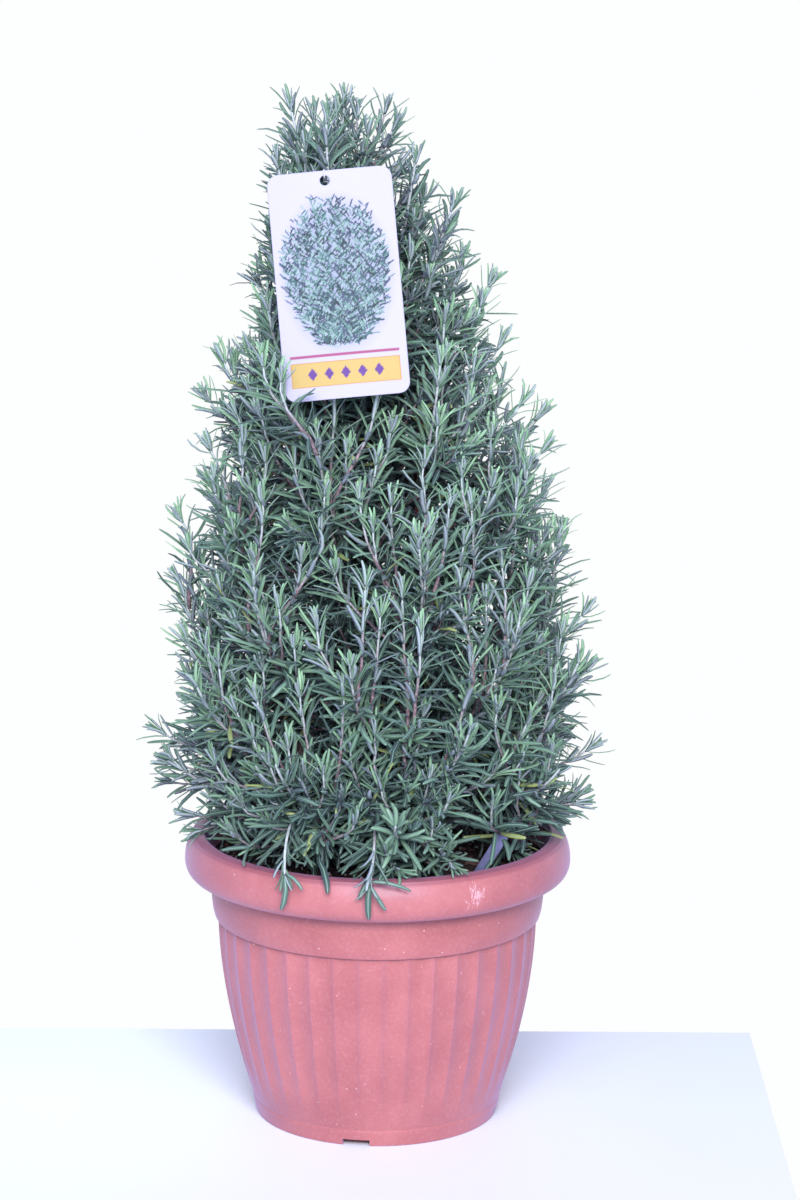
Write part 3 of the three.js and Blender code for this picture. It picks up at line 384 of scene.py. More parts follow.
def smoothed(points, triangles, levels):
    """Points, quads and the points' normals of a skin after Catmull-Clark subdivision."""
    mesh = bpy.data.meshes.new("skin")
    mesh.from_pydata(points.tolist(), [], triangles.tolist())
    body = stand("skin", mesh)
    body.modifiers.new("round", "SUBSURF").levels = levels
    fine = body.evaluated_get(bpy.context.evaluated_depsgraph_get()).data
    places = np.zeros(len(fine.vertices) * 3)
    fine.vertices.foreach_get("co", places)
    corners = np.zeros(len(fine.loops), int)
    fine.loops.foreach_get("vertex_index", corners)
    normals = np.zeros(len(fine.vertices) * 3)
    fine.vertices.foreach_get("normal", normals)
    bpy.data.objects.remove(body)
    bpy.data.meshes.remove(mesh)
    return places.reshape(-1, 3), corners.reshape(-1, 4), normals.reshape(-1, 3)


# Old bark gives the eye a matt grey-brown with fine dark splits along it, warmer in patches.
bark, tree, shader, place = finish_of("rosemary_bark", {"Roughness": 0.85, "Specular IOR Level": 0.3})
drawn_out = add(tree, "Mapping", {"Vector": place, "Scale": (1.0, 1.0, 0.16)})
# strips 1.6 mm wide and 10 mm long, in patches about 17 mm wide
strips = add(tree, "TexNoise", {"Vector": drawn_out, "Scale": 620.0, "Detail": 5.0, "Roughness": 0.7})
patches = add(tree, "TexNoise", {"Vector": place, "Scale": 60.0, "Detail": 3.0})
wood = add(tree, "ValToRGB", {
    "Fac": strips, "stops": [(0.3, "#312427"), (0.52, "#624B4E"), (0.74, "#8C7C81")],
})
warm = add(tree, "ValToRGB", {
    "Fac": strips, "stops": [(0.3, "#2F1A1E"), (0.55, "#6F4145"), (0.76, "#957275")],
})
either = add(tree, "MapRange", {"Value": patches, "From Min": 0.42, "From Max": 0.6})
both = add(tree, "Mix", {0: either, 6: wood, 7: warm})
bump = add(tree, "Bump", {"Height": strips, "Strength": 0.7, "Distance": 0.0008})
connect(shader, {"Base Color": both, "Normal": bump})

ABOVE_MIX = 180  # from here up the wood can bear shoots
RIDGE_WIDTH, RIDGE_LENGTH, RIDGE_HEIGHT = 1.6, 14, 0.35  # of the bark's strips
woody_points = []
for name in sorted(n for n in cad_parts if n.startswith("woody_stem")):
    points, triangles = skin_of(name)
    woody_points.append(points[points[:, 2] > ABOVE_MIX])
    points, quads, normals = smoothed(points, triangles, 3)
    places = points / [RIDGE_WIDTH, RIDGE_WIDTH, RIDGE_LENGTH]
    ridges = [noise.fractal(Vector(p), 0.9, 2.1, 3) for p in places]
    points = points + normals * (RIDGE_HEIGHT * np.array(ridges) + 0.1)[:, None]
    stem = piece(name.replace("woody_stem", "bark_stem"), points, [quads], bark)
    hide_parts(name)
woody_points = np.concatenate(woody_points)

# ---------------------------------------------------------------- leafy shoots
# Rosemary shoots: thin square stems, felted grey when young and reddish when older, with pairs of stiff
# narrow leaves about 25 mm long. A leaf is dark above with a sunken midrib, has rolled edges and is pale
# beneath. Small fresh leaves sit in the axils and at the tips.
LEAF_WIDTH = 3.1
LEAF_STATIONS = np.array([0.0, 0.12, 0.38, 0.74, 0.95])
LEAF_SPREAD = np.array([0.42, 0.84, 1.0, 0.96, 0.62])  # share of the full width at each station
SECTION = np.array([  # across and up, in half widths; edges rolled under, a groove along the top
    (-1.0, -0.10), (-0.55, 0.26), (0.0, 0.06), (0.55, 0.26), (1.0, -0.10), (0.0, -0.20),
])
ROUND = len(SECTION)
LEAF_POINTS = ROUND * len(LEAF_STATIONS) + 1
STEM_RADIUS = 1.3
WHORL_STEP = 7.2  # between pairs of leaves along a stem
AGE_SPAN = 75.0  # mm back from the tip at which leaves and stem are fully grown
YELLOWED = 2.0  # the age that stands for an old leaf that has turned
MIDRIB, EDGE, BENEATH = 0.0, 1.0, 2.0


def unit(v):
    """The direction of v, or of each of its rows."""
    return v / np.maximum(np.linalg.norm(v, axis=-1, keepdims=True), 1e-9)


def square_to(v, axis):
    """The part of v that stands square to axis, at length 1."""
    return unit(v - axis * (v * axis).sum(-1, keepdims=True))


def around(ahead, turns):
    """Directions square to a stem, at these turns round it."""
    side = square_to(np.array([0.31, 0.93, 0.2]), ahead)
    other = np.cross(ahead, side)
    return side[..., None, :] * np.cos(turns)[:, None] + other[..., None, :] * np.sin(turns)[:, None]


def leaning(ahead, out, angle):
    """Directions at an angle from ahead, towards out."""
    return out * np.sin(angle)[:, None] + ahead * np.cos(angle)[:, None]


def clear_of_rim(base, tip):
    """Leaf tips that would end in the pot's wall stand up along it, or lie on top of the rim."""
    wall, on_top = 106, LEDGE_LEVEL + 2.2
    radius = np.hypot(tip[:, 0], tip[:, 1])
    from_inside = (np.hypot(base[:, 0], base[:, 1]) < wall + 2) & (radius > wall)
    low = from_inside & (base[:, 2] < LEDGE_LEVEL + 1) & (tip[:, 2] > 150)
    over = from_inside & ~low & (radius < RIM_RADIUS + 2) & (tip[:, 2] < on_top)
    tip = tip.copy()
    tip[:, :2] *= np.where(low, wall / radius, 1.0)[:, None]
    tip[:, 2] = np.where(low, tip[:, 2] + radius - wall, np.where(over, on_top, tip[:, 2]))
    return tip


def freshness(level):
    """How young the end of a shoot looks at this level: less so low down and at the clipped top."""
    return 0.72 + 0.28 * ease(level, 200, 320) - 0.3 * ease(level, 540, 610)


class Foliage:
    """Leaves and stems gathered for one piece."""

    def __init__(self, draw):
        self.draw = draw
        self.leaves = []  # base, tip, upper side, width, bend, sickle, age, tone
        self.skins = []
        self.corners = []
        self.ages = []
        self.count = 0
        # the lightest tone a leaf may take; kept low inside the bush as painted shade
        self.lightest = 1.0

    def leaf(self, base, tip, above, width=1.0, age=1.0, bend=None):
        """Leaves from base to tip, whose upper sides face `above`."""
        tip = clear_of_rim(base, tip)
        n = len(base)
        length = np.linalg.norm(tip - base, axis=1)
        bend = self.draw.normal(-0.05, 0.07, n) if bend is None else np.full(n, bend)
        sickle = self.draw.normal(0, 0.05, n)
        wide = LEAF_WIDTH * width * np.minimum(1.0, 0.45 + length / 38) * self.draw.uniform(0.86, 1.12, n)
        tone = self.draw.uniform(0, self.lightest, n)
        self.leaves.append((base, tip, above, wide, bend, sickle, age + np.zeros(n), tone))

    def stem(self, points, corners, age):
        """A stretch of stem, with the age at each of its points."""
        self.skins.append(points)
        self.corners.append(corners + self.count)
        self.ages.append(age)
        self.count += len(points)

    def build(self, name, made, slot):
        """One mesh of all stems and leaves. Made holds the leaf's and the stem's material."""
        base, tip, above, wide, bend, sickle, age, tone = [
            np.concatenate([l[i] for l in self.leaves]) for i in range(8)
        ]
        reach = tip - base
        length = np.linalg.norm(reach, axis=1, keepdims=True)
        above = square_to(above, unit(reach))
        side = np.cross(unit(reach), above)
        n = len(base)
        arch = LEAF_STATIONS * (1 - LEAF_STATIONS) * 4  # none at the base and at the tip
        middle = (base[:, None] + reach[:, None] * LEAF_STATIONS[None, :, None]
                  - above[:, None] * (length * bend[:, None] * arch)[:, :, None]
                  + side[:, None] * (length * sickle[:, None] * arch)[:, :, None])
        half = 0.5 * wide[:, None] * LEAF_SPREAD
        rings = (middle[:, :, None]
                 + side[:, None, None] * (half[:, :, None] * SECTION[:, 0])[..., None]
                 + above[:, None, None] * (half[:, :, None] * SECTION[:, 1])[..., None])
        points = np.concatenate([rings.reshape(n, -1, 3), tip[:, None]], 1).reshape(-1, 3)
        ring = np.arange(ROUND)
        nxt = (ring + 1) % ROUND
        last = ROUND * (len(LEAF_STATIONS) - 1)
        quads = np.concatenate([
            np.stack([k + ring, k + ROUND + ring, k + ROUND + nxt, k + nxt], 1)
            for k in range(0, last, ROUND)
        ])
        tips = np.stack([last + ring, np.full(ROUND, LEAF_POINTS - 1), last + nxt], 1)
        start = self.count + LEAF_POINTS * np.arange(n)[:, None, None]
        every = [(start + f[None]).reshape(-1, f.shape[1]) for f in (quads, tips, ring[None])]
        stem_points = np.concatenate(self.skins)
        all_quads = np.concatenate([every[0], *self.corners])
        body = piece(name, np.concatenate([stem_points, points]), [every[1], every[2], all_quads],
                     made[0])
        body.data.materials.append(made[1])
        stem_faces = sum(len(c) for c in self.corners)
        index = np.zeros(len(body.data.polygons), np.int32)
        index[len(index) - stem_faces:] = 1
        body.data.polygons.foreach_set("material_index", index)
        zone = np.array([EDGE, 0.5, MIDRIB, 0.5, EDGE, BENEATH])
        zones = np.append(np.tile(zone, len(LEAF_STATIONS)), MIDRIB)
        bare = np.zeros(self.count)
        paint(body, "zone", np.concatenate([bare, np.tile(zones, n)]))
        paint(body, "age", np.concatenate([*self.ages, np.repeat(age, LEAF_POINTS)]))
        paint(body, "tone", np.concatenate([bare, np.repeat(tone, LEAF_POINTS)]))
        return body


def tube(path, radii):
    """Points and quads of a six-sided stem along a path, closed at both ends."""
    out = around(unit(np.gradient(path, axis=0)), np.arange(6) * (2 * math.pi / 6))
    points = (path[:, None] + out * radii[:, None, None]).reshape(-1, 3)
    at, quads = sleeve(len(path), 6)
    ends = []
    for ring, flip in ((at[0], -1), (at[-1], 1)):
        a, b, c, d, e, f = ring
        ends.append(np.array([[a, b, c, d], [a, d, e, f]])[:, ::flip])
    return points, np.concatenate([quads, *ends])


def twig(foliage, start, lean, tip, heading, leafy, lively=1.0, radius=STEM_RADIUS):
    """A shoot from start, where it points along `lean`, to tip, where it points along `heading`.
    Its last `leafy` mm bear leaves, and `lively` is 1 where its tip is young."""
    draw = foliage.draw
    span = np.linalg.norm(tip - start)
    handles = [start, start + lean * span * 0.34, tip - heading * span * 0.4, tip]
    steps = max(6, int(span / 6))
    t = np.linspace(0, 1, steps + 1)[:, None]
    path = ((1 - t) ** 3 * handles[0] + 3 * t * (1 - t) ** 2 * handles[1]
            + 3 * t * t * (1 - t) * handles[2] + t ** 3 * handles[3])
    path[1:-1] += draw.normal(0, 0.35, (steps - 1, 3))
    along = np.concatenate([[0], np.cumsum(np.linalg.norm(np.diff(path, axis=0), axis=1))])
    length = along[-1]
    points, quads = tube(path, radius * np.linspace(1.05, 0.45, len(path)))
    to_tip = length - np.repeat(along, 6)
    foliage.stem(points, quads, np.clip(to_tip / AGE_SPAN, 0, 1) * lively + (1 - lively))
    stations = np.arange(length - 1.5, max(3.0, length - leafy), -WHORL_STEP)
    stations = stations + draw.normal(0, 0.5, len(stations))
    slopes = np.gradient(path, along, axis=0)
    for number, station in enumerate(stations):
        centre = np.array([np.interp(station, along, path[:, i]) for i in range(3)])
        ahead = unit(np.array([np.interp(station, along, slopes[:, i]) for i in range(3)]))
        back = length - station
        grown = ease(back, 0, 30)
        turns = number * math.pi / 2 + np.array([0, math.pi]) + draw.normal(0, 0.2, 2)
        age = min(1.0, back / AGE_SPAN) * lively + 1 - lively
        whorl(foliage, centre, ahead, turns, radius * 0.8, grown, age)
    tuft(foliage, path[-1], unit(path[-1] - path[-2]), lively)


def whorl(foliage, centre, ahead, turns, radius, grown, age):
    """Opposite leaves round a stem, some with small ones in their axils."""
    draw = foliage.draw
    n = len(turns)
    out = around(ahead, turns)
    splay = np.radians(23 + 32 * grown + 17 * age + draw.normal(0, 11, n))
    length = (16 + 12 * grown) * draw.uniform(0.76, 1.14, n)
    base = centre + out * radius
    tip = base + leaning(ahead, out, splay) * length[:, None]
    share = 0.11 if centre[2] < 250 else 0.05  # more of the old leaves have turned low in the bush
    turned_leaf = (age > 0.6) & (draw.uniform(0, 1, n) < share)
    foliage.leaf(base, tip, ahead - out * 0.2, 0.78 + 0.22 * grown, np.where(turned_leaf, YELLOWED, age))
    if grown > 0.35:
        axil_leaves(foliage, base, out, ahead, splay, length, age)


def axil_leaves(foliage, base, out, ahead, splay, length, age):
    """Small leaves beside some of the grown ones, on either hand."""
    draw = foliage.draw
    for hand in (-1, 1):
        keep = draw.uniform(0, 1, len(base)) < 0.3
        if not keep.any():
            continue
        side = np.cross(ahead, out) * hand
        small = (0.34 + 0.24 * draw.uniform(0, 1, len(base))) * length
        sideways = side * draw.uniform(0.15, 0.5, len(base))[:, None]
        aim = unit(leaning(ahead, out, splay * 0.6) + sideways)
        start = base + ahead * 0.6
        tip = start + aim * small[:, None]
        up = np.broadcast_to(ahead - out * 0.4, base.shape)
        foliage.leaf(start[keep], tip[keep], up[keep], width=0.8, age=0.45 * age * np.ones(keep.sum()))


def tuft(foliage, tip, ahead, lively, hangs=False):
    """The close bunch of young leaves that ends a shoot. It is longer and narrower where it hangs."""
    draw = foliage.draw
    n = 7
    out = around(ahead, np.arange(n) * 2.4 + draw.uniform(0, 6.3))
    widest, shortest, above = (34, 0.55, np.array([0, -1, 0.5])) if hangs else (42, 0.8, ahead - out * 0.3)
    splay = np.radians(np.linspace(5, widest, n))
    length = (1.5 if hangs else 1.0) * np.linspace(12, 20, n) * draw.uniform(shortest, 1.1, n)
    base = tip - ahead * np.linspace(0.5, 3.5, n)[:, None] + out * 0.4
    ends = base + leaning(ahead, out, splay) * length[:, None]
    foliage.leaf(base, ends, above + 0 * out, width=0.74, age=np.full(n, 1 - lively))


def read_spray(node):
    """The bare skin of a CAD spray, and the root, tip and stem direction of each of its needles."""
    points, triangles = skin_of(node)
    edges = np.unique(np.sort(np.concatenate([triangles[:, [0, 1]], triangles[:, [1, 2]],
                                              triangles[:, [2, 0]]]), 1), axis=0)
    valence = np.bincount(edges.ravel(), minlength=len(points))
    apexes = np.flatnonzero(valence == 3)
    on_apex = np.isin(triangles, apexes)
    skin = triangles[~on_apex.any(1)]
    caps, tips, roots = [], [], []
    for apex in apexes:
        fan = triangles[(triangles == apex).any(1)]
        after = {t[(list(t).index(apex) + 1) % 3]: t[(list(t).index(apex) + 2) % 3] for t in fan}
        a = fan[0][(list(fan[0]).index(apex) + 1) % 3]
        b = after[a]
        caps.append([a, b, after[b]])
        tips.append(points[apex])
        roots.append(points[caps[-1]].mean(0))
    caps, tips, roots = np.array(caps), np.array(tips), np.array(roots)
    a, b, c = points[caps.T]
    facing = unit(np.cross(b - a, c - a))
    straight = (facing * unit(tips - roots)).sum(1) > 0.985
    return points, np.concatenate([skin, caps]), roots, tips, straight


def stem_at(places, near):
    """Middle and direction of the stem by each place, from the skin's corners within reach of it."""
    middles, aheads = [], []
    for place in places:
        close = near[np.linalg.norm(near - place, axis=1) < 9.5]
        middle = close.mean(0)
        spread = np.linalg.svd(close - middle)[2][0]
        middles.append(middle + spread * ((place - middle) @ spread))
        aheads.append(spread)
    return np.array(middles), np.array(aheads)


# A grown leaf gives the eye a dark blue-green with a pale line down the middle and a grey felt beneath;
# a young one is brighter and yellower, and an old one low in the bush turns yellow-green.
leaf, tree, shader, place = finish_of("rosemary_leaf", {
    "IOR": 1.45, "Specular IOR Level": 0.34,
    "Sheen Weight": 0.16, "Sheen Roughness": 0.4, "Sheen Tint": "#C3C8FF",
})
zone = add(tree, "Attribute", {"attribute_name": "zone"})
age = add(tree, "Attribute", {"attribute_name": "age"})
tone = add(tree, "Attribute", {"attribute_name": "tone"})
grown = add(tree, "ValToRGB", {
    "Fac": tone, "stops": [(0.0, "#293F37"), (0.55, "#3C594B"), (1.0, "#557364")],
})
young = add(tree, "ValToRGB", {"Fac": tone, "stops": [(0.0, "#638B67"), (1.0, "#8CB289")]})
ageing = add(tree, "MapRange", {"Value": age, "From Min": 0.0, "From Max": 0.5})
upper = add(tree, "Mix", {0: ageing, 6: young, 7: grown})
yellowing = add(tree, "Math", {"operation": "GREATER_THAN", 0: age, 1: YELLOWED - 0.5})
upper = add(tree, "Mix", {0: yellowing, 6: upper, 7: "#8C9A56"})
# the midrib, the rolled edges and the felt beneath are paler
for start, full, much, colour in (
    (0.22, 0.02, 0.7, "#93AAA5"), (0.75, 1.0, 0.35, "#8B9E98"), (1.25, 1.6, 1.0, "#9BA7B0"),
):
    paler = add(tree, "MapRange", {"Value": zone, "From Min": start, "From Max": full, "To Max": much})
    upper = add(tree, "Mix", {0: paler, 6: upper, 7: colour})
rough = add(tree, "MapRange", {"Value": zone, "From Min": 1.0, "From Max": 1.5,
                               "To Min": 0.46, "To Max": 0.85})
# 0.7 mm puckers across the blade
wrinkle = add(tree, "TexNoise", {"Vector": place, "Scale": 1500.0, "Detail": 2.0})
bump = add(tree, "Bump", {"Height": wrinkle, "Strength": 0.25, "Distance": 0.0002})
connect(shader, {"Base Color": upper, "Roughness": rough, "Normal": bump})

# A young stem is grey-green under white felt; further back it is reddish-purple with grey scurf.
young_stem, tree, shader, place = finish_of("felted_shoot_stem", {
    "Roughness": 0.8, "Specular IOR Level": 0.3,
})
age = add(tree, "Attribute", {"attribute_name": "age"})
# 2.5 mm patches of scurf
scurf = add(tree, "TexNoise", {"Vector": place, "Scale": 400.0, "Detail": 4.0, "Roughness": 0.7})
pale = add(tree, "ValToRGB", {"Fac": scurf, "stops": [(0.35, "#909D9A"), (0.65, "#B9BEC6")]})
red = add(tree, "ValToRGB", {
    "Fac": scurf, "stops": [(0.32, "#544148"), (0.55, "#857078"), (0.72, "#AEA4AC")],
})
older = add(tree, "MapRange", {"Value": age, "From Min": 0.15, "From Max": 0.55})
stemmed = add(tree, "Mix", {0: older, 6: pale, 7: red})
bump = add(tree, "Bump", {"Height": scurf, "Strength": 0.4, "Distance": 0.0003})
connect(shader, {"Base Color": stemmed, "Normal": bump})

KEPT, BETWEEN, IN_AXILS = 0.72, 0.3, 0.5  # shares of needles with a leaf, one more beside it, small ones
END_NEEDLE = 14  # mm that a shoot's last needle stands beyond its stem
spray_names = sorted(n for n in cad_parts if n.startswith("spray"))
sprays = {name: read_spray(name) for name in spray_names}
foliages = {}
shoot_tips = []
for number, name in enumerate(spray_names):
    points, skin, roots, tips, straight = sprays[name]
    foliage = Foliage(np.random.default_rng(500 + number))
    foliages[name] = foliage
    draw = foliage.draw
    ends = tips[straight]
    shoot_tips.append(ends)
    middles, aheads = stem_at(roots, points[np.unique(skin)])
    aheads *= np.sign((aheads * (tips - roots)).sum(1))[:, None]
    outs = square_to(roots - middles, aheads)
    to_ends = np.linalg.norm(roots[:, None] - ends[None], axis=2)
    back = to_ends.min(1) - END_NEEDLE
    fresh = freshness(ends[to_ends.argmin(1), 2])
    age = 1 - fresh * (1 - np.clip(back / AGE_SPAN, 0, 1))
    fine, quads, _ = smoothed(points, skin, 1)
    to_end = np.linalg.norm(fine[:, None] - ends[None], axis=2).min(1) - END_NEEDLE
    foliage.stem(fine, quads, np.clip(to_end / AGE_SPAN, 0, 1))

    # a leaf along most of the solid's needles, opened out a little
    grown = ~straight & (draw.uniform(0, 1, len(roots)) < KEPT)
    base = middles + outs * 0.7
    reach = tips - roots
    length = np.linalg.norm(reach, axis=1)
    opened = unit(unit(reach) + outs * (0.45 * age)[:, None]) * length[:, None]
    tips = roots + opened
    splay = np.arccos(np.clip((unit(opened) * aheads).sum(1), -1, 1))
    foliage.leaf(base[grown], tips[grown], (aheads - outs * 0.2)[grown], age=age[grown])
    # the leaves between: turned by a sixth of a circle and half a step further on
    turn = (math.pi / 3 + draw.normal(0, 0.3, len(roots)))[:, None]
    between = outs * np.cos(turn) + np.cross(aheads, outs) * np.sin(turn)
    slide = draw.uniform(1.8, 4.2, len(roots))[:, None]
    start = middles + between * 0.7 + aheads * slide
    angle = splay + 0.1 + draw.normal(0, 0.2, len(splay))
    long = length * draw.uniform(0.8, 1.02, len(length))
    far = start + leaning(aheads, between, angle) * long[:, None]
    some = grown & (draw.uniform(0, 1, len(grown)) < BETWEEN)
    foliage.leaf(start[some], far[some], (aheads - between * 0.2)[some], age=age[some])
    for i in np.flatnonzero(grown & (back > 14) & (draw.uniform(0, 1, len(grown)) < IN_AXILS)):
        one = slice(i, i + 1)
        axil_leaves(foliage, base[one], outs[one], aheads[i], splay[one], length[one], age[i])
    for root, end in zip(roots[straight], ends):
        if np.hypot(root[0], root[1]) > RIM_RADIUS - 1.5:
            continue  # a shoot that ends outside the rim gets leaves of its own below
        if end[2] < root[2]:
            tuft(foliage, root, unit(end - root), 0.3, hangs=True)
        else:
            tuft(foliage, root, unit(unit(end - root) + [0, 0, 0.7]), freshness(end[2]))

    # old leaves on the stretches the main needles leave bare
    bare = points[np.unique(skin)]
    dressed = [*roots]
    for place in bare[np.argsort(-bare[:, 2])]:
        if place[2] < 195 or min(np.linalg.norm(place - d) for d in dressed) < 5.5:
            continue
        dressed.append(place)
        centre, ahead = [v[0] for v in stem_at(place[None], bare)]
        ahead = ahead * (1 if ahead[2] > 0 else -1)
        turn = draw.uniform(0, math.pi)
        whorl(foliage, centre, ahead, turn + np.array([0, math.pi]) + draw.normal(0, 0.3, 2), 0.8, 1.0, 1.0)

# More shoots fill the bush between the main ones. Their tips lie on the clipped outline.
PLANT_TOP, WIDEST = 655.0, 250.0
BUSH_RADIUS, TOP_RADIUS = 143.0, 32.0
LEANS_FROM, LEANS_BY = 380, 30


def bush_radius(level):
    """The clipped outline: widest low down, drawn in below that and at the top."""
    if level < WIDEST:
        return BUSH_RADIUS - 14 * ((WIDEST - level) / 60) ** 2
    up = min(1, (level - WIDEST) / (PLANT_TOP - WIDEST))
    return BUSH_RADIUS - (BUSH_RADIUS - TOP_RADIUS) * up ** 1.75


def bush_axis(level):
    """The middle of the bush, which leans to the left towards its top."""
    up = max(0, level - LEANS_FROM) / (PLANT_TOP - LEANS_FROM)
    return np.array([-LEANS_BY * up ** 1.5, 0, level])


def seat_of(wanted, tip, drop):
    """The stems' place nearest to the wanted one, best well below the tip, and its foliage."""
    cost = np.linalg.norm(seats - wanted, axis=1) + 30 * (seats[:, 2] > tip[2] - drop)
    seat = int(cost.argmin())
    return seats[seat], foliages[spray_names[seat_owner[seat]]]


draw = np.random.default_rng(77)
taken = list(np.concatenate(shoot_tips))
bare_stems = [sprays[n][0][np.unique(sprays[n][1])] for n in spray_names]
seats = np.concatenate(bare_stems)
seat_owner = np.repeat(np.arange(len(bare_stems)), [len(b) for b in bare_stems])
near_spray = np.array([np.linalg.norm(seats - p, axis=1).argmin() for p in woody_points])
seats = np.concatenate([seats, woody_points])
seat_owner = np.concatenate([seat_owner, seat_owner[near_spray]])
# Shoots that stand out from the clipped outline, hang over the rim or lie across the tag: where each ends,
# and which way it points there.
STANDING_OUT = [
    ((2, 8, 642), (0.2, 0, 1)), ((8, -6, 634), (0.5, 0, 1)), ((-15, 0, 640), (0, 0.1, 1)),
    ((-28, -8, 641), (0, 0, 1)), ((-42, 6, 638), (-0.1, 0, 1)), ((-8, -14, 630), (0.1, -0.2, 1)),
    ((-38, -16, 626), (0, -0.3, 1)), ((-20, 14, 632), (0, 0.2, 1)), ((5, 10, 622), (0.5, 0.2, 1)),
    ((-55, 0, 622), (-0.4, 0, 1)), ((68, 10, 536), (0.35, 0, 1)), ((62, -20, 526), (0.3, 0, 1)),
    ((74, 0, 498), (0.5, 0, 1)), ((88, -12, 464), (0.5, 0, 1)), ((98, 8, 452), (0.5, 0, 1)),
    ((102, -10, 434), (0.5, 0, 0.8)), ((104, 14, 404), (0.6, 0, 1)), ((112, -20, 378), (0.5, 0, 1)),
    ((-98, 0, 488), (-0.35, 0, 1)), ((-108, 12, 462), (-0.6, 0, 1)), ((-106, -12, 434), (-0.5, 0, 1)),
    ((-106, 10, 408), (-0.6, 0, 1)), ((-125, 0, 387), (-0.6, 0, 1)), ((-119, -16, 371), (-0.6, 0, 1)),
    ((-126, 8, 344), (-0.7, 0, 1)), ((-122, -20, 314), (-0.6, 0, 1)), ((-137, 0, 248), (-1, 0, 0.6)),
    ((-131, -14, 232), (-1, 0, 0.5)), ((-132, 10, 213), (-1, -0.2, 0.3)),
    ((-118, -22, 200), (-1, -0.2, 0.1)), ((130, 0, 328), (0.6, 0, 1)), ((132, -18, 296), (0.7, 0, 1)),
    ((135, 6, 238), (1, 0, 0.6)), ((126, -16, 208), (1, -0.2, 0.3)), ((12, -110, 191), (0.3, -1, -0.1)),
    ((46, -100, 191), (0.2, -1, -0.1)), ((-113, -24, 190), (-1, -0.5, -0.2)),
    ((-58, -109, 492), (0.15, -0.2, 1)), ((-69, -104, 500), (-0.05, -0.2, 1)),
]
BEARS_LONG_LEAF, LONG_LEAF_TIP = (-55, 0, 622), (-77.0, 0.0, 631.0)  # one leaf arches out at the upper left
for ends_at, points_to in STANDING_OUT:
    tip, heading = np.array(ends_at, float), unit(np.array(points_to, float))
    start, shoot = seat_of(tip - heading * 62, tip, drop=8)
    lean = unit(unit(tip - start) * 0.7 + [0, 0, 0.5])
    twig(shoot, start, lean, tip, heading, leafy=110, lively=freshness(tip[2]))
    if ends_at == BEARS_LONG_LEAF:
        above = np.array([[0, -0.3, 1.0]])
        shoot.leaf(tip[None], np.array([LONG_LEAF_TIP]), above, width=0.9, age=0.6, bend=-0.2)
    taken.append(tip)

# Leaves that lie over the rim at the front: the shoot that bears each, where it starts and ends, its width.
OVER_RIM = [
    ("spray_08", (-56, -115, 188), (-58.3, -117.0, 166.5), 1.35),
    ("spray_08", (-55, -115, 189), (-44.9, -121.5, 180.5), 1.0),
    ("spray_08", (-36, -106, 196), (-29.4, -126.2, 179.6), 1.15),
    ("spray_07", (-5, -125, 189), (-10.8, -129.0, 177.3), 1.2),
    ("spray_07", (-4, -128, 186), (-4.4, -129.5, 164.5), 1.2),
    ("spray_07", (-4, -128, 186), (6.0, -129.4, 170.3), 1.0),
    ("spray_07", (-4, -127, 188), (21.5, -127.0, 182.0), 0.75),
]
for name, starts_at, ends_at, width in OVER_RIM:
    start, tip, above = [np.array([v], float) for v in (starts_at, ends_at, (0, -1, 0.4))]
    foliages[name].leaf(start, tip, above, width, age=0.7, bend=-0.1)

OUTER_SHOOTS = 640
LOWEST, CONE_TOP, CUT_OFF = 206, 702, 60  # they are spread evenly over a cone that is cut off near its top
GOLDEN_ANGLE = 2.39996  # the turn from one shoot to the next, so that none ends right above another
LABEL_TOP = np.array([72.0, -75.0, 205.0])  # no shoot ends close in front of the plant label
for number in range(OUTER_SHOOTS):
    share = (number + 0.5) / OUTER_SHOOTS
    cone = CONE_TOP - LOWEST
    level = CONE_TOP - cone * math.sqrt(1 - share * (1 - (CUT_OFF / cone) ** 2))
    level += draw.normal(0, 5)
    turn = number * GOLDEN_ANGLE + 1.1
    radius = (bush_radius(level) - 14) * draw.uniform(0.86, 1.0)
    axis = bush_axis(level)
    tip = axis + np.array([radius * math.cos(turn), radius * math.sin(turn), 0])
    if min(np.linalg.norm(tip - t) for t in taken) < 19 - 6 * ease(level, 520, 620) or level > 646:
        continue
    outward = unit((tip - axis) * [1, 1, 0])
    if np.linalg.norm(tip - LABEL_TOP) < 34 or (level < 232 and outward[0] > 0.42 and outward[1] < 0.1):
        continue
    height = min(1, max(0, level - LOWEST) / 140)
    splay = 50 - 38 * height ** 0.7
    splay = math.radians(splay * (1 - 0.5 * max(0, -outward[1])) + draw.normal(0, 6))
    heading = outward * math.sin(splay) + np.array([0, 0, math.cos(splay)])
    start, shoot = seat_of(tip - heading * 80 - outward * 8, tip, drop=12)
    if not 25 < np.linalg.norm(tip - start) < 170:
        continue
    lean = unit(outward * 0.5 + [0, 0, 0.8] + draw.normal(0, 0.15, 3))
    twig(shoot, start, lean, tip - heading * 13, heading, leafy=130, lively=freshness(level))
    taken.append(tip)

# Short older twigs leaf out inside, along the bare stretches of the main shoots and of the wood. Their
# leaves take only the darker tones: painted shade inside the bush.
for number, name in enumerate(spray_names):
    foliage = foliages[name]
    draw = foliage.draw
    bare = seats[seat_owner == number]
    order = bare[np.argsort(bare[:, 2])]
    for start in order[4::6]:
        outward = unit((start - bush_axis(start[2])) * [1, 1, 0] + draw.normal(0, 12, 3) * [1, 1, 0])
        heading = unit(outward + [0, 0, draw.uniform(0.1, 1.1)])
        reach = draw.uniform(26, 46)
        tip = start + heading * reach
        limit = bush_radius(tip[2]) - 24
        from_axis = tip - bush_axis(tip[2])
        if np.linalg.norm(from_axis[:2]) > limit or tip[2] < 190:
            continue
        # painted shade: leaves of the inner twigs take only the darker tones
        foliage.lightest = 0.3
        lean = unit(heading + [0, 0, -0.2])
        twig(foliage, start, lean, tip, heading, leafy=60, lively=0.3, radius=0.8)
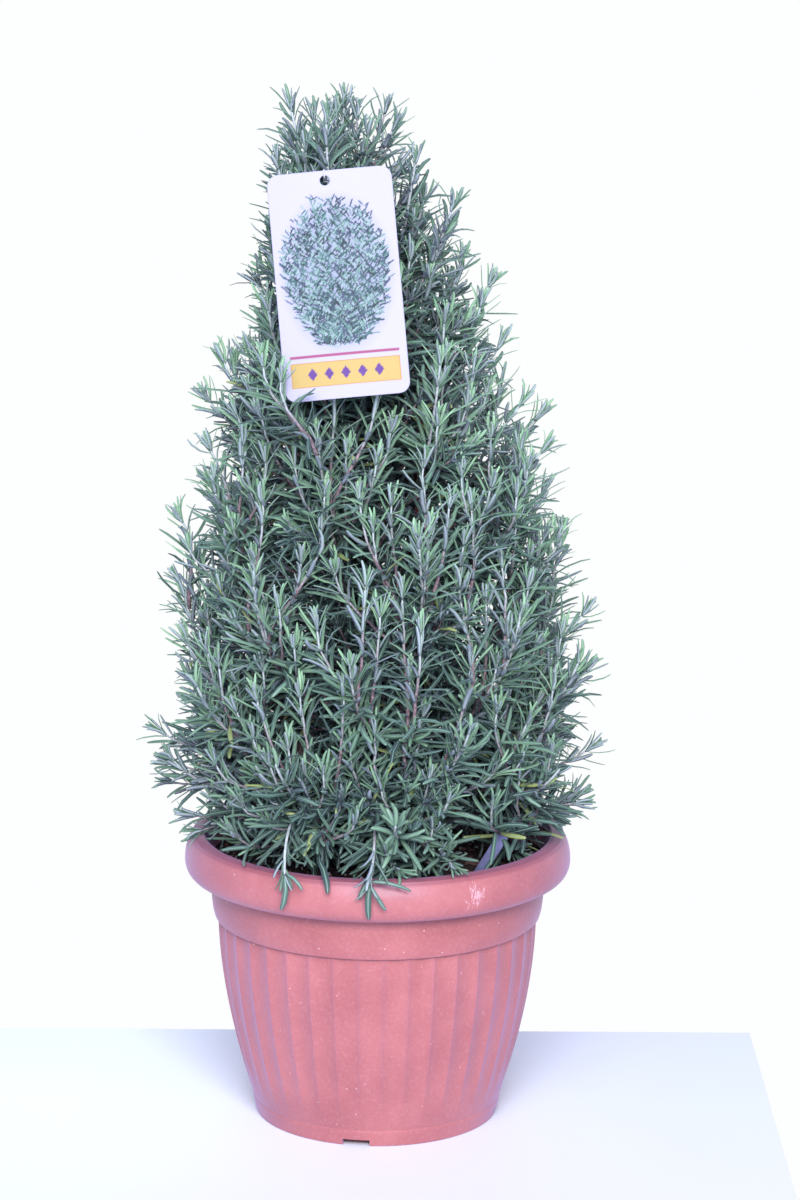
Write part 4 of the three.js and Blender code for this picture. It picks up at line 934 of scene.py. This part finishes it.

# Older twigs from the wood fill the middle of the bush, with leaves of the darkest tones: painted shade.
draw = np.random.default_rng(31)
INNER_TWIGS = 150
for number in range(INNER_TWIGS):
    level = 196 + 380 * (number + 0.5) / INNER_TWIGS
    turn = number * GOLDEN_ANGLE
    outward = np.array([math.cos(turn), math.sin(turn), 0])
    near = woody_points[np.linalg.norm(woody_points - bush_axis(level) - outward * 10, axis=1).argmin()]
    heading = unit(outward + [0, 0, draw.uniform(0.5, 1.2)])
    reach = min(95.0, 0.8 * bush_radius(level)) * draw.uniform(0.6, 1.0)
    foliage = foliages[spray_names[seat_owner[np.linalg.norm(seats - near, axis=1).argmin()]]]
    # painted shade: the middle of the bush takes only the darkest tones
    foliage.lightest = 0.2
    lean = unit(heading + [0, 0, -0.2])
    twig(foliage, near, lean, near + heading * reach, heading, leafy=80, lively=0.1)

for number, name in enumerate(spray_names):
    shoot = foliages[name].build(name.replace("spray", "rosemary_shoot"), (leaf, young_stem), "needles")
    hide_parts(name)

# ---------------------------------------------------------------- plant label
# A narrow plant label, stamped from thin lavender-blue polystyrene. Its pointed foot is pushed into the
# mix and its top leans to the right and bends a little.
LABEL_WIDTH, LABEL_THICKNESS, LABEL_LENGTH = 7.0, 1.2, 74.0
LABEL_FOOT = np.array([44.0, -45.0, 136.0])
LABEL_POINT = 14.0
LABEL_TURNED = Matrix.Rotation(math.radians(-24), 3, "Z") @ Matrix.Rotation(math.radians(31), 3, "Y")
outline = [(0.4, 0.6)] + [(t, LABEL_WIDTH / 2 * t / LABEL_POINT) for t in (3, 7, 11)]
outline += [(t, LABEL_WIDTH / 2) for t in np.linspace(LABEL_POINT, LABEL_LENGTH - 2, 30)]
outline += [(LABEL_LENGTH - 0.9, LABEL_WIDTH / 2 - 0.6), (LABEL_LENGTH, LABEL_WIDTH / 2 - 2.2)]
rings = []
for along, half in outline:
    bend = 2.2 * ease(along, 36, 92) ** 1.5
    thick = LABEL_THICKNESS / 2
    soft = min(0.25, half * 0.4)
    section = [(-half, -thick + soft), (-half + soft, -thick), (half - soft, -thick), (half, -thick + soft),
               (half, thick - soft), (half - soft, thick), (-half + soft, thick), (-half, thick - soft)]
    rings.append([(x, y + bend, along) for x, y in section])
at, quads = sleeve(len(rings), 8)
rings = np.array(rings).reshape(-1, 3) @ np.array(LABEL_TURNED).T + LABEL_FOOT

# Polystyrene gives the eye an even lavender-blue with a soft gloss; soil has dulled it low down.
polystyrene, tree, shader, place = finish_of("lavender_polystyrene", {"IOR": 1.59, "Roughness": 0.32})
# 4 mm smears of soil
smear = add(tree, "TexNoise", {"Vector": place, "Scale": 260.0, "Detail": 4.0, "Roughness": 0.7})
spot = add(tree, "SeparateXYZ", {"Vector": place}).node.outputs
low = add(tree, "MapRange", {"Value": spot["Z"], "From Min": 0.196, "From Max": 0.172})
soiled = add(tree, "Math", {"operation": "MULTIPLY", 0: low, 1: smear})
strip = add(tree, "Mix", {0: soiled, 6: "#8084B4", 7: "#2E2A3C"})
connect(shader, {"Base Color": strip})
label = piece("label_strip", rings, [quads, np.array([at[0], at[-1][::-1]])], polystyrene)
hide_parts("plant_label")

# ---------------------------------------------------------------- hang tag
# The hang tag is a die-cut, laminated paperboard card with rounded corners and one punched hole. Its print
# is a bunch of leafy sprigs over a thin red line and a yellow band with five violet lozenges.
CARD_WIDTH, CARD_HEIGHT, CARD_THICKNESS, CARD_CORNER = 75.0, 137.0, 0.6, 7.0
CARD_MIDDLE = np.array([-24.8, -83.0, 546.2])
CARD_TILT, CARD_LEAN = math.radians(5.6), math.radians(14.4)
HOLE_X, HOLE_Y, HOLE_RADIUS = -2.7, 62.5, 3.0
CARD_STEP = 0.55
card_right = np.array([math.cos(CARD_TILT), 0, math.sin(CARD_TILT)])
card_up = np.array([-math.sin(CARD_TILT) * math.cos(CARD_LEAN), math.sin(CARD_LEAN),
                    math.cos(CARD_TILT) * math.cos(CARD_LEAN)])
card_out = np.cross(card_right, card_up)
across = int(CARD_WIDTH / CARD_STEP)
up = int(CARD_HEIGHT / CARD_STEP)
level = np.linspace(-CARD_HEIGHT / 2, CARD_HEIGHT / 2, up + 1)
into_corner = np.clip(np.abs(level) - (CARD_HEIGHT / 2 - CARD_CORNER), 0, CARD_CORNER)
half_width = CARD_WIDTH / 2 - CARD_CORNER + np.sqrt(CARD_CORNER ** 2 - into_corner ** 2)
x = half_width[:, None] * np.linspace(-1, 1, across + 1)
y = np.repeat(level[:, None], across + 1, 1)
from_hole = np.hypot(x - HOLE_X, y - HOLE_Y)
near_hole = np.abs(from_hole - HOLE_RADIUS) < CARD_STEP * 0.72
pull = np.where(near_hole, HOLE_RADIUS / np.maximum(from_hole, 0.1), 1.0)
x, y = HOLE_X + (x - HOLE_X) * pull, HOLE_Y + (y - HOLE_Y) * pull
at = np.arange(x.size).reshape(x.shape)
cells = np.stack([at[:-1, :-1], at[:-1, 1:], at[1:, 1:], at[1:, :-1]], -1).reshape(-1, 4)
flat = np.stack([x.ravel(), y.ravel()], 1)
cells = cells[np.hypot(*(flat[cells].mean(1) - [HOLE_X, HOLE_Y]).T) > HOLE_RADIUS]
used, cells = np.unique(cells, return_inverse=True)
cells = cells.reshape(-1, 4)
flat = flat[used]
edges = np.concatenate([cells[:, [i, (i + 1) % 4]] for i in range(4)])
key = edges[:, 0] * len(flat) + edges[:, 1]
back_key = edges[:, 1] * len(flat) + edges[:, 0]
rim = edges[~np.isin(key, back_key)]
bow = 1.6 * (1 - (2 * flat[:, 0] / CARD_WIDTH) ** 2) - 0.8
sheet = CARD_MIDDLE + flat[:, :1] * card_right + flat[:, 1:] * card_up + bow[:, None] * card_out
front = sheet + card_out * CARD_THICKNESS / 2
behind = sheet - card_out * CARD_THICKNESS / 2
walls = np.stack([rim[:, 0], rim[:, 0] + len(flat), rim[:, 1] + len(flat), rim[:, 1]], 1)


def ink_of(colour):
    return np.array(linear(colour)[:3])


# the print: a pale grey-green oval under the bunch, then its strokes, the line and the band
draw = np.random.default_rng(5)
plain_white = np.tile(ink_of("#F3EEFF"), (len(flat), 1))
faint = 1.2 - np.hypot(flat[:, 0] / 30, (flat[:, 1] - 6) / 43)
under = 0.55 * np.clip(faint * 2.2, 0, 1)[:, None]
ink = plain_white * (1 - under) + under * ink_of("#8FA9AE")
SPRIGS, STROKES = 21, 46
STROKE_COLOURS = ["#3C5E60", "#4F7A76", "#6E9C92", "#33484F", "#8FBCA8", "#5D6A80", "#BBDCCB"]
for index in draw.permutation(SPRIGS):
    fan = 2 * index / (SPRIGS - 1) - 1
    foot = np.array([fan * 9.0, -37.0])
    top = np.array([fan * 28.0 + draw.normal(0, 1.5), 49.0 - 24.0 * fan * fan + draw.normal(0, 3)])
    for stroke in range(STROKES):
        share = (stroke + 0.5) / STROKES
        spot = foot + (top - foot) * share + np.array([fan * 8 * math.sin(math.pi * share), 0])
        ahead = unit(top - foot + np.array([fan * 20 * math.cos(math.pi * share), 0]))
        for hand in (-1, 1):
            swing = hand * math.radians(draw.uniform(20, 62))
            aim = np.array([ahead[0] * math.cos(swing) - ahead[1] * math.sin(swing),
                            ahead[0] * math.sin(swing) + ahead[1] * math.cos(swing)])
            long = draw.uniform(4.0, 8.0) * (1 - 0.3 * share)
            offset = flat - spot - draw.normal(0, 1.2, 2)
            t = (offset @ aim) / long
            wide = 0.36 * np.sqrt(np.clip(1 - (2 * t - 1) ** 2, 0, 1)) + 0.06
            side = np.abs(offset[:, 0] * aim[1] - offset[:, 1] * aim[0])
            inside = (t > 0) & (t < 1) & (side < wide)
            ink[inside] = ink_of(draw.choice(STROKE_COLOURS))
LINE_Y, BAND_Y = -42.0, -53.0
for middle, half_height, half_length, colour in (
    (LINE_Y, 0.8, 33, "#D0668A"), (BAND_Y, 7.6, 33, "#F4B860"), (BAND_Y, 7.6 - 0.9, 33 - 0.9, "#FFDA7C"),
):
    within = (np.abs(flat[:, 1] - middle) < half_height) & (np.abs(flat[:, 0]) < half_length)
    ink[within] = ink_of(colour)
for middle in (-20, -10, 0, 10, 20):
    lozenge = np.abs(flat[:, 0] - middle) / 2.9 + np.abs(flat[:, 1] - BAND_Y) / 3.8 < 1
    ink[lozenge] = ink_of("#8052A8")

# Laminated paperboard gives the eye clean print under an even, faint gloss.
paperboard, tree, shader, place = finish_of("laminated_paperboard", {
    "IOR": 1.48, "Specular IOR Level": 0.22,
})
printed = add(tree, "Attribute", {"attribute_name": "print"})
# 1 mm waves in the film
fibre = add(tree, "TexNoise", {"Vector": place, "Scale": 900.0, "Detail": 3.0})
toned = add(tree, "Mix", {"blend_type": "MULTIPLY", 0: 1.0, 6: printed.node.outputs["Color"], 7: "#A7A8B4"})
gloss = add(tree, "MapRange", {"Value": fibre, "From Min": 0.3, "From Max": 0.7,
                               "To Min": 0.5, "To Max": 0.6})
bump = add(tree, "Bump", {"Height": fibre, "Strength": 0.05, "Distance": 0.0002})
connect(shader, {"Base Color": toned, "Roughness": gloss, "Normal": bump})
card = piece("tag_card", np.concatenate([front, behind]),
             [np.concatenate([cells, cells[:, ::-1] + len(flat), walls])], paperboard)
inks = np.concatenate([np.concatenate([ink, plain_white]), np.ones((2 * len(flat), 1))], 1)
card.data.attributes.new("print", "FLOAT_COLOR", "POINT").data.foreach_set("color", inks.ravel())
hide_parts("hang_tag")

# ---------------------------------------------------------------- tag tie
# A thin white elastic goes through the tag's hole, over its top edge and round a shoot, and is fused.
# To the eye it is a plain dull white; painted shade makes it a little greyer in the valleys of its twist, 4
# mm apart.
elastic, tree, shader, place = finish_of("white_elastic", {"Roughness": 0.6})
twist = add(tree, "TexWave", {"Vector": place, "Scale": 260.0, "Distortion": 2.0})
# painted shade in the valleys of the twist
strand = add(tree, "ValToRGB", {"Fac": twist, "stops": [(0.2, "#A9A6AE"), (0.8, "#D9D6DC")]})
connect(shader, {"Base Color": strand})
points, quads, _ = smoothed(*skin_of("tag_tie"), 1)
tie = piece("tie_loop", points, [quads], elastic)
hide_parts("tag_tie")

# ---------------------------------------------------------------- camera, light and floor
# The camera stands 2.2 m in front and looks down by 12 degrees. A white room gives soft light from all
# round, a wide lamp in front and one above add a soft key, and the floor is a pale table top.
LOOKS_DOWN, ROLLED = 0.2095, 0.0065  # radians
camera = bpy.data.cameras.new("camera")
camera.lens = 107.54
camera.sensor_width = 36.0
camera.clip_end = 50.0
camera = stand("camera", camera)
camera.matrix_world = (Matrix.Translation((0.01325, -2.2168, 0.80707))
                       @ Matrix.Rotation(math.radians(90) - LOOKS_DOWN, 4, "X")
                       @ Matrix.Rotation(ROLLED, 4, "Z"))
bpy.context.scene.camera = camera

world = bpy.data.worlds.new("white_room")
bpy.context.scene.world = world
world.use_nodes = True
room = world.node_tree
looking = add(room, "TexCoord", {}).node.outputs["Generated"]
towards = add(room, "SeparateXYZ", {"Vector": looking}).node.outputs
backdrop = add(room, "MapRange", {"Value": towards["Y"], "From Min": 0.5, "From Max": 0.85})
overhead = add(room, "MapRange", {"Value": towards["Z"], "From Min": 0.1, "From Max": 0.6})
room_light, ceiling_light = (0.74, 0.79, 1.02, 1.0), (0.36, 0.43, 0.74, 1.0)
backdrop_light = (0.985, 0.995, 1.0, 1.0)
walls = add(room, "Mix", {0: overhead, 6: room_light, 7: ceiling_light})
walls = add(room, "Mix", {0: backdrop, 6: walls, 7: backdrop_light})
connect(room.nodes["Background"], {"Color": walls})
for name, where, wide, high, power, colour in (
    ("key_lamp", (0.1, -2.3, 1.42), 1.5, 0.7, 89, (1.0, 0.98, 0.97)),
    ("top_lamp", (-0.1, -1.5, 1.9), 0.9, 0.5, 25, (0.66, 0.74, 1.0)),
):
    lamp = bpy.data.lights.new(name, "AREA")
    lamp.shape = "RECTANGLE"
    lamp.size = wide
    lamp.size_y = high
    lamp.energy = power
    lamp.color = colour
    lamp = stand(name, lamp)
    lamp.location = where
    lamp.rotation_euler = (Vector((0, 0, 0.3)) - Vector(where)).to_track_quat("-Z", "Y").to_euler()

FAR, RIGHT, BACK = -2.5, 0.257, 0.147  # where the table top ends, in metres
table = bpy.data.meshes.new("table_top")
table.from_pydata([(FAR, FAR, 0), (RIGHT, FAR, 0), (RIGHT, BACK, 0), (FAR, BACK, 0)], [], [(0, 1, 2, 3)])
table = stand("table_top", table)
white_top, tree, shader, place = finish_of("white_table_top", {"Roughness": 0.6})
spot = add(tree, "SeparateXYZ", {"Vector": place}).node.outputs
# painted shade on the even white table: greyer to the right and in front
tint = "#E6EEF2"  # greyer to the right and in front
for way, start, full, colour in (("X", -0.2, 0.2, "#D8DCE5"), ("Y", 0.0, -0.25, "#D2D0DD")):
    greyer = add(tree, "MapRange", {"Value": spot[way], "From Min": start, "From Max": full})
    tint = add(tree, "Mix", {0: greyer, 6: tint, 7: colour})
connect(shader, {"Base Color": tint})
table.data.materials.append(white_top)
bpy.context.scene.view_settings.view_transform = "Standard"
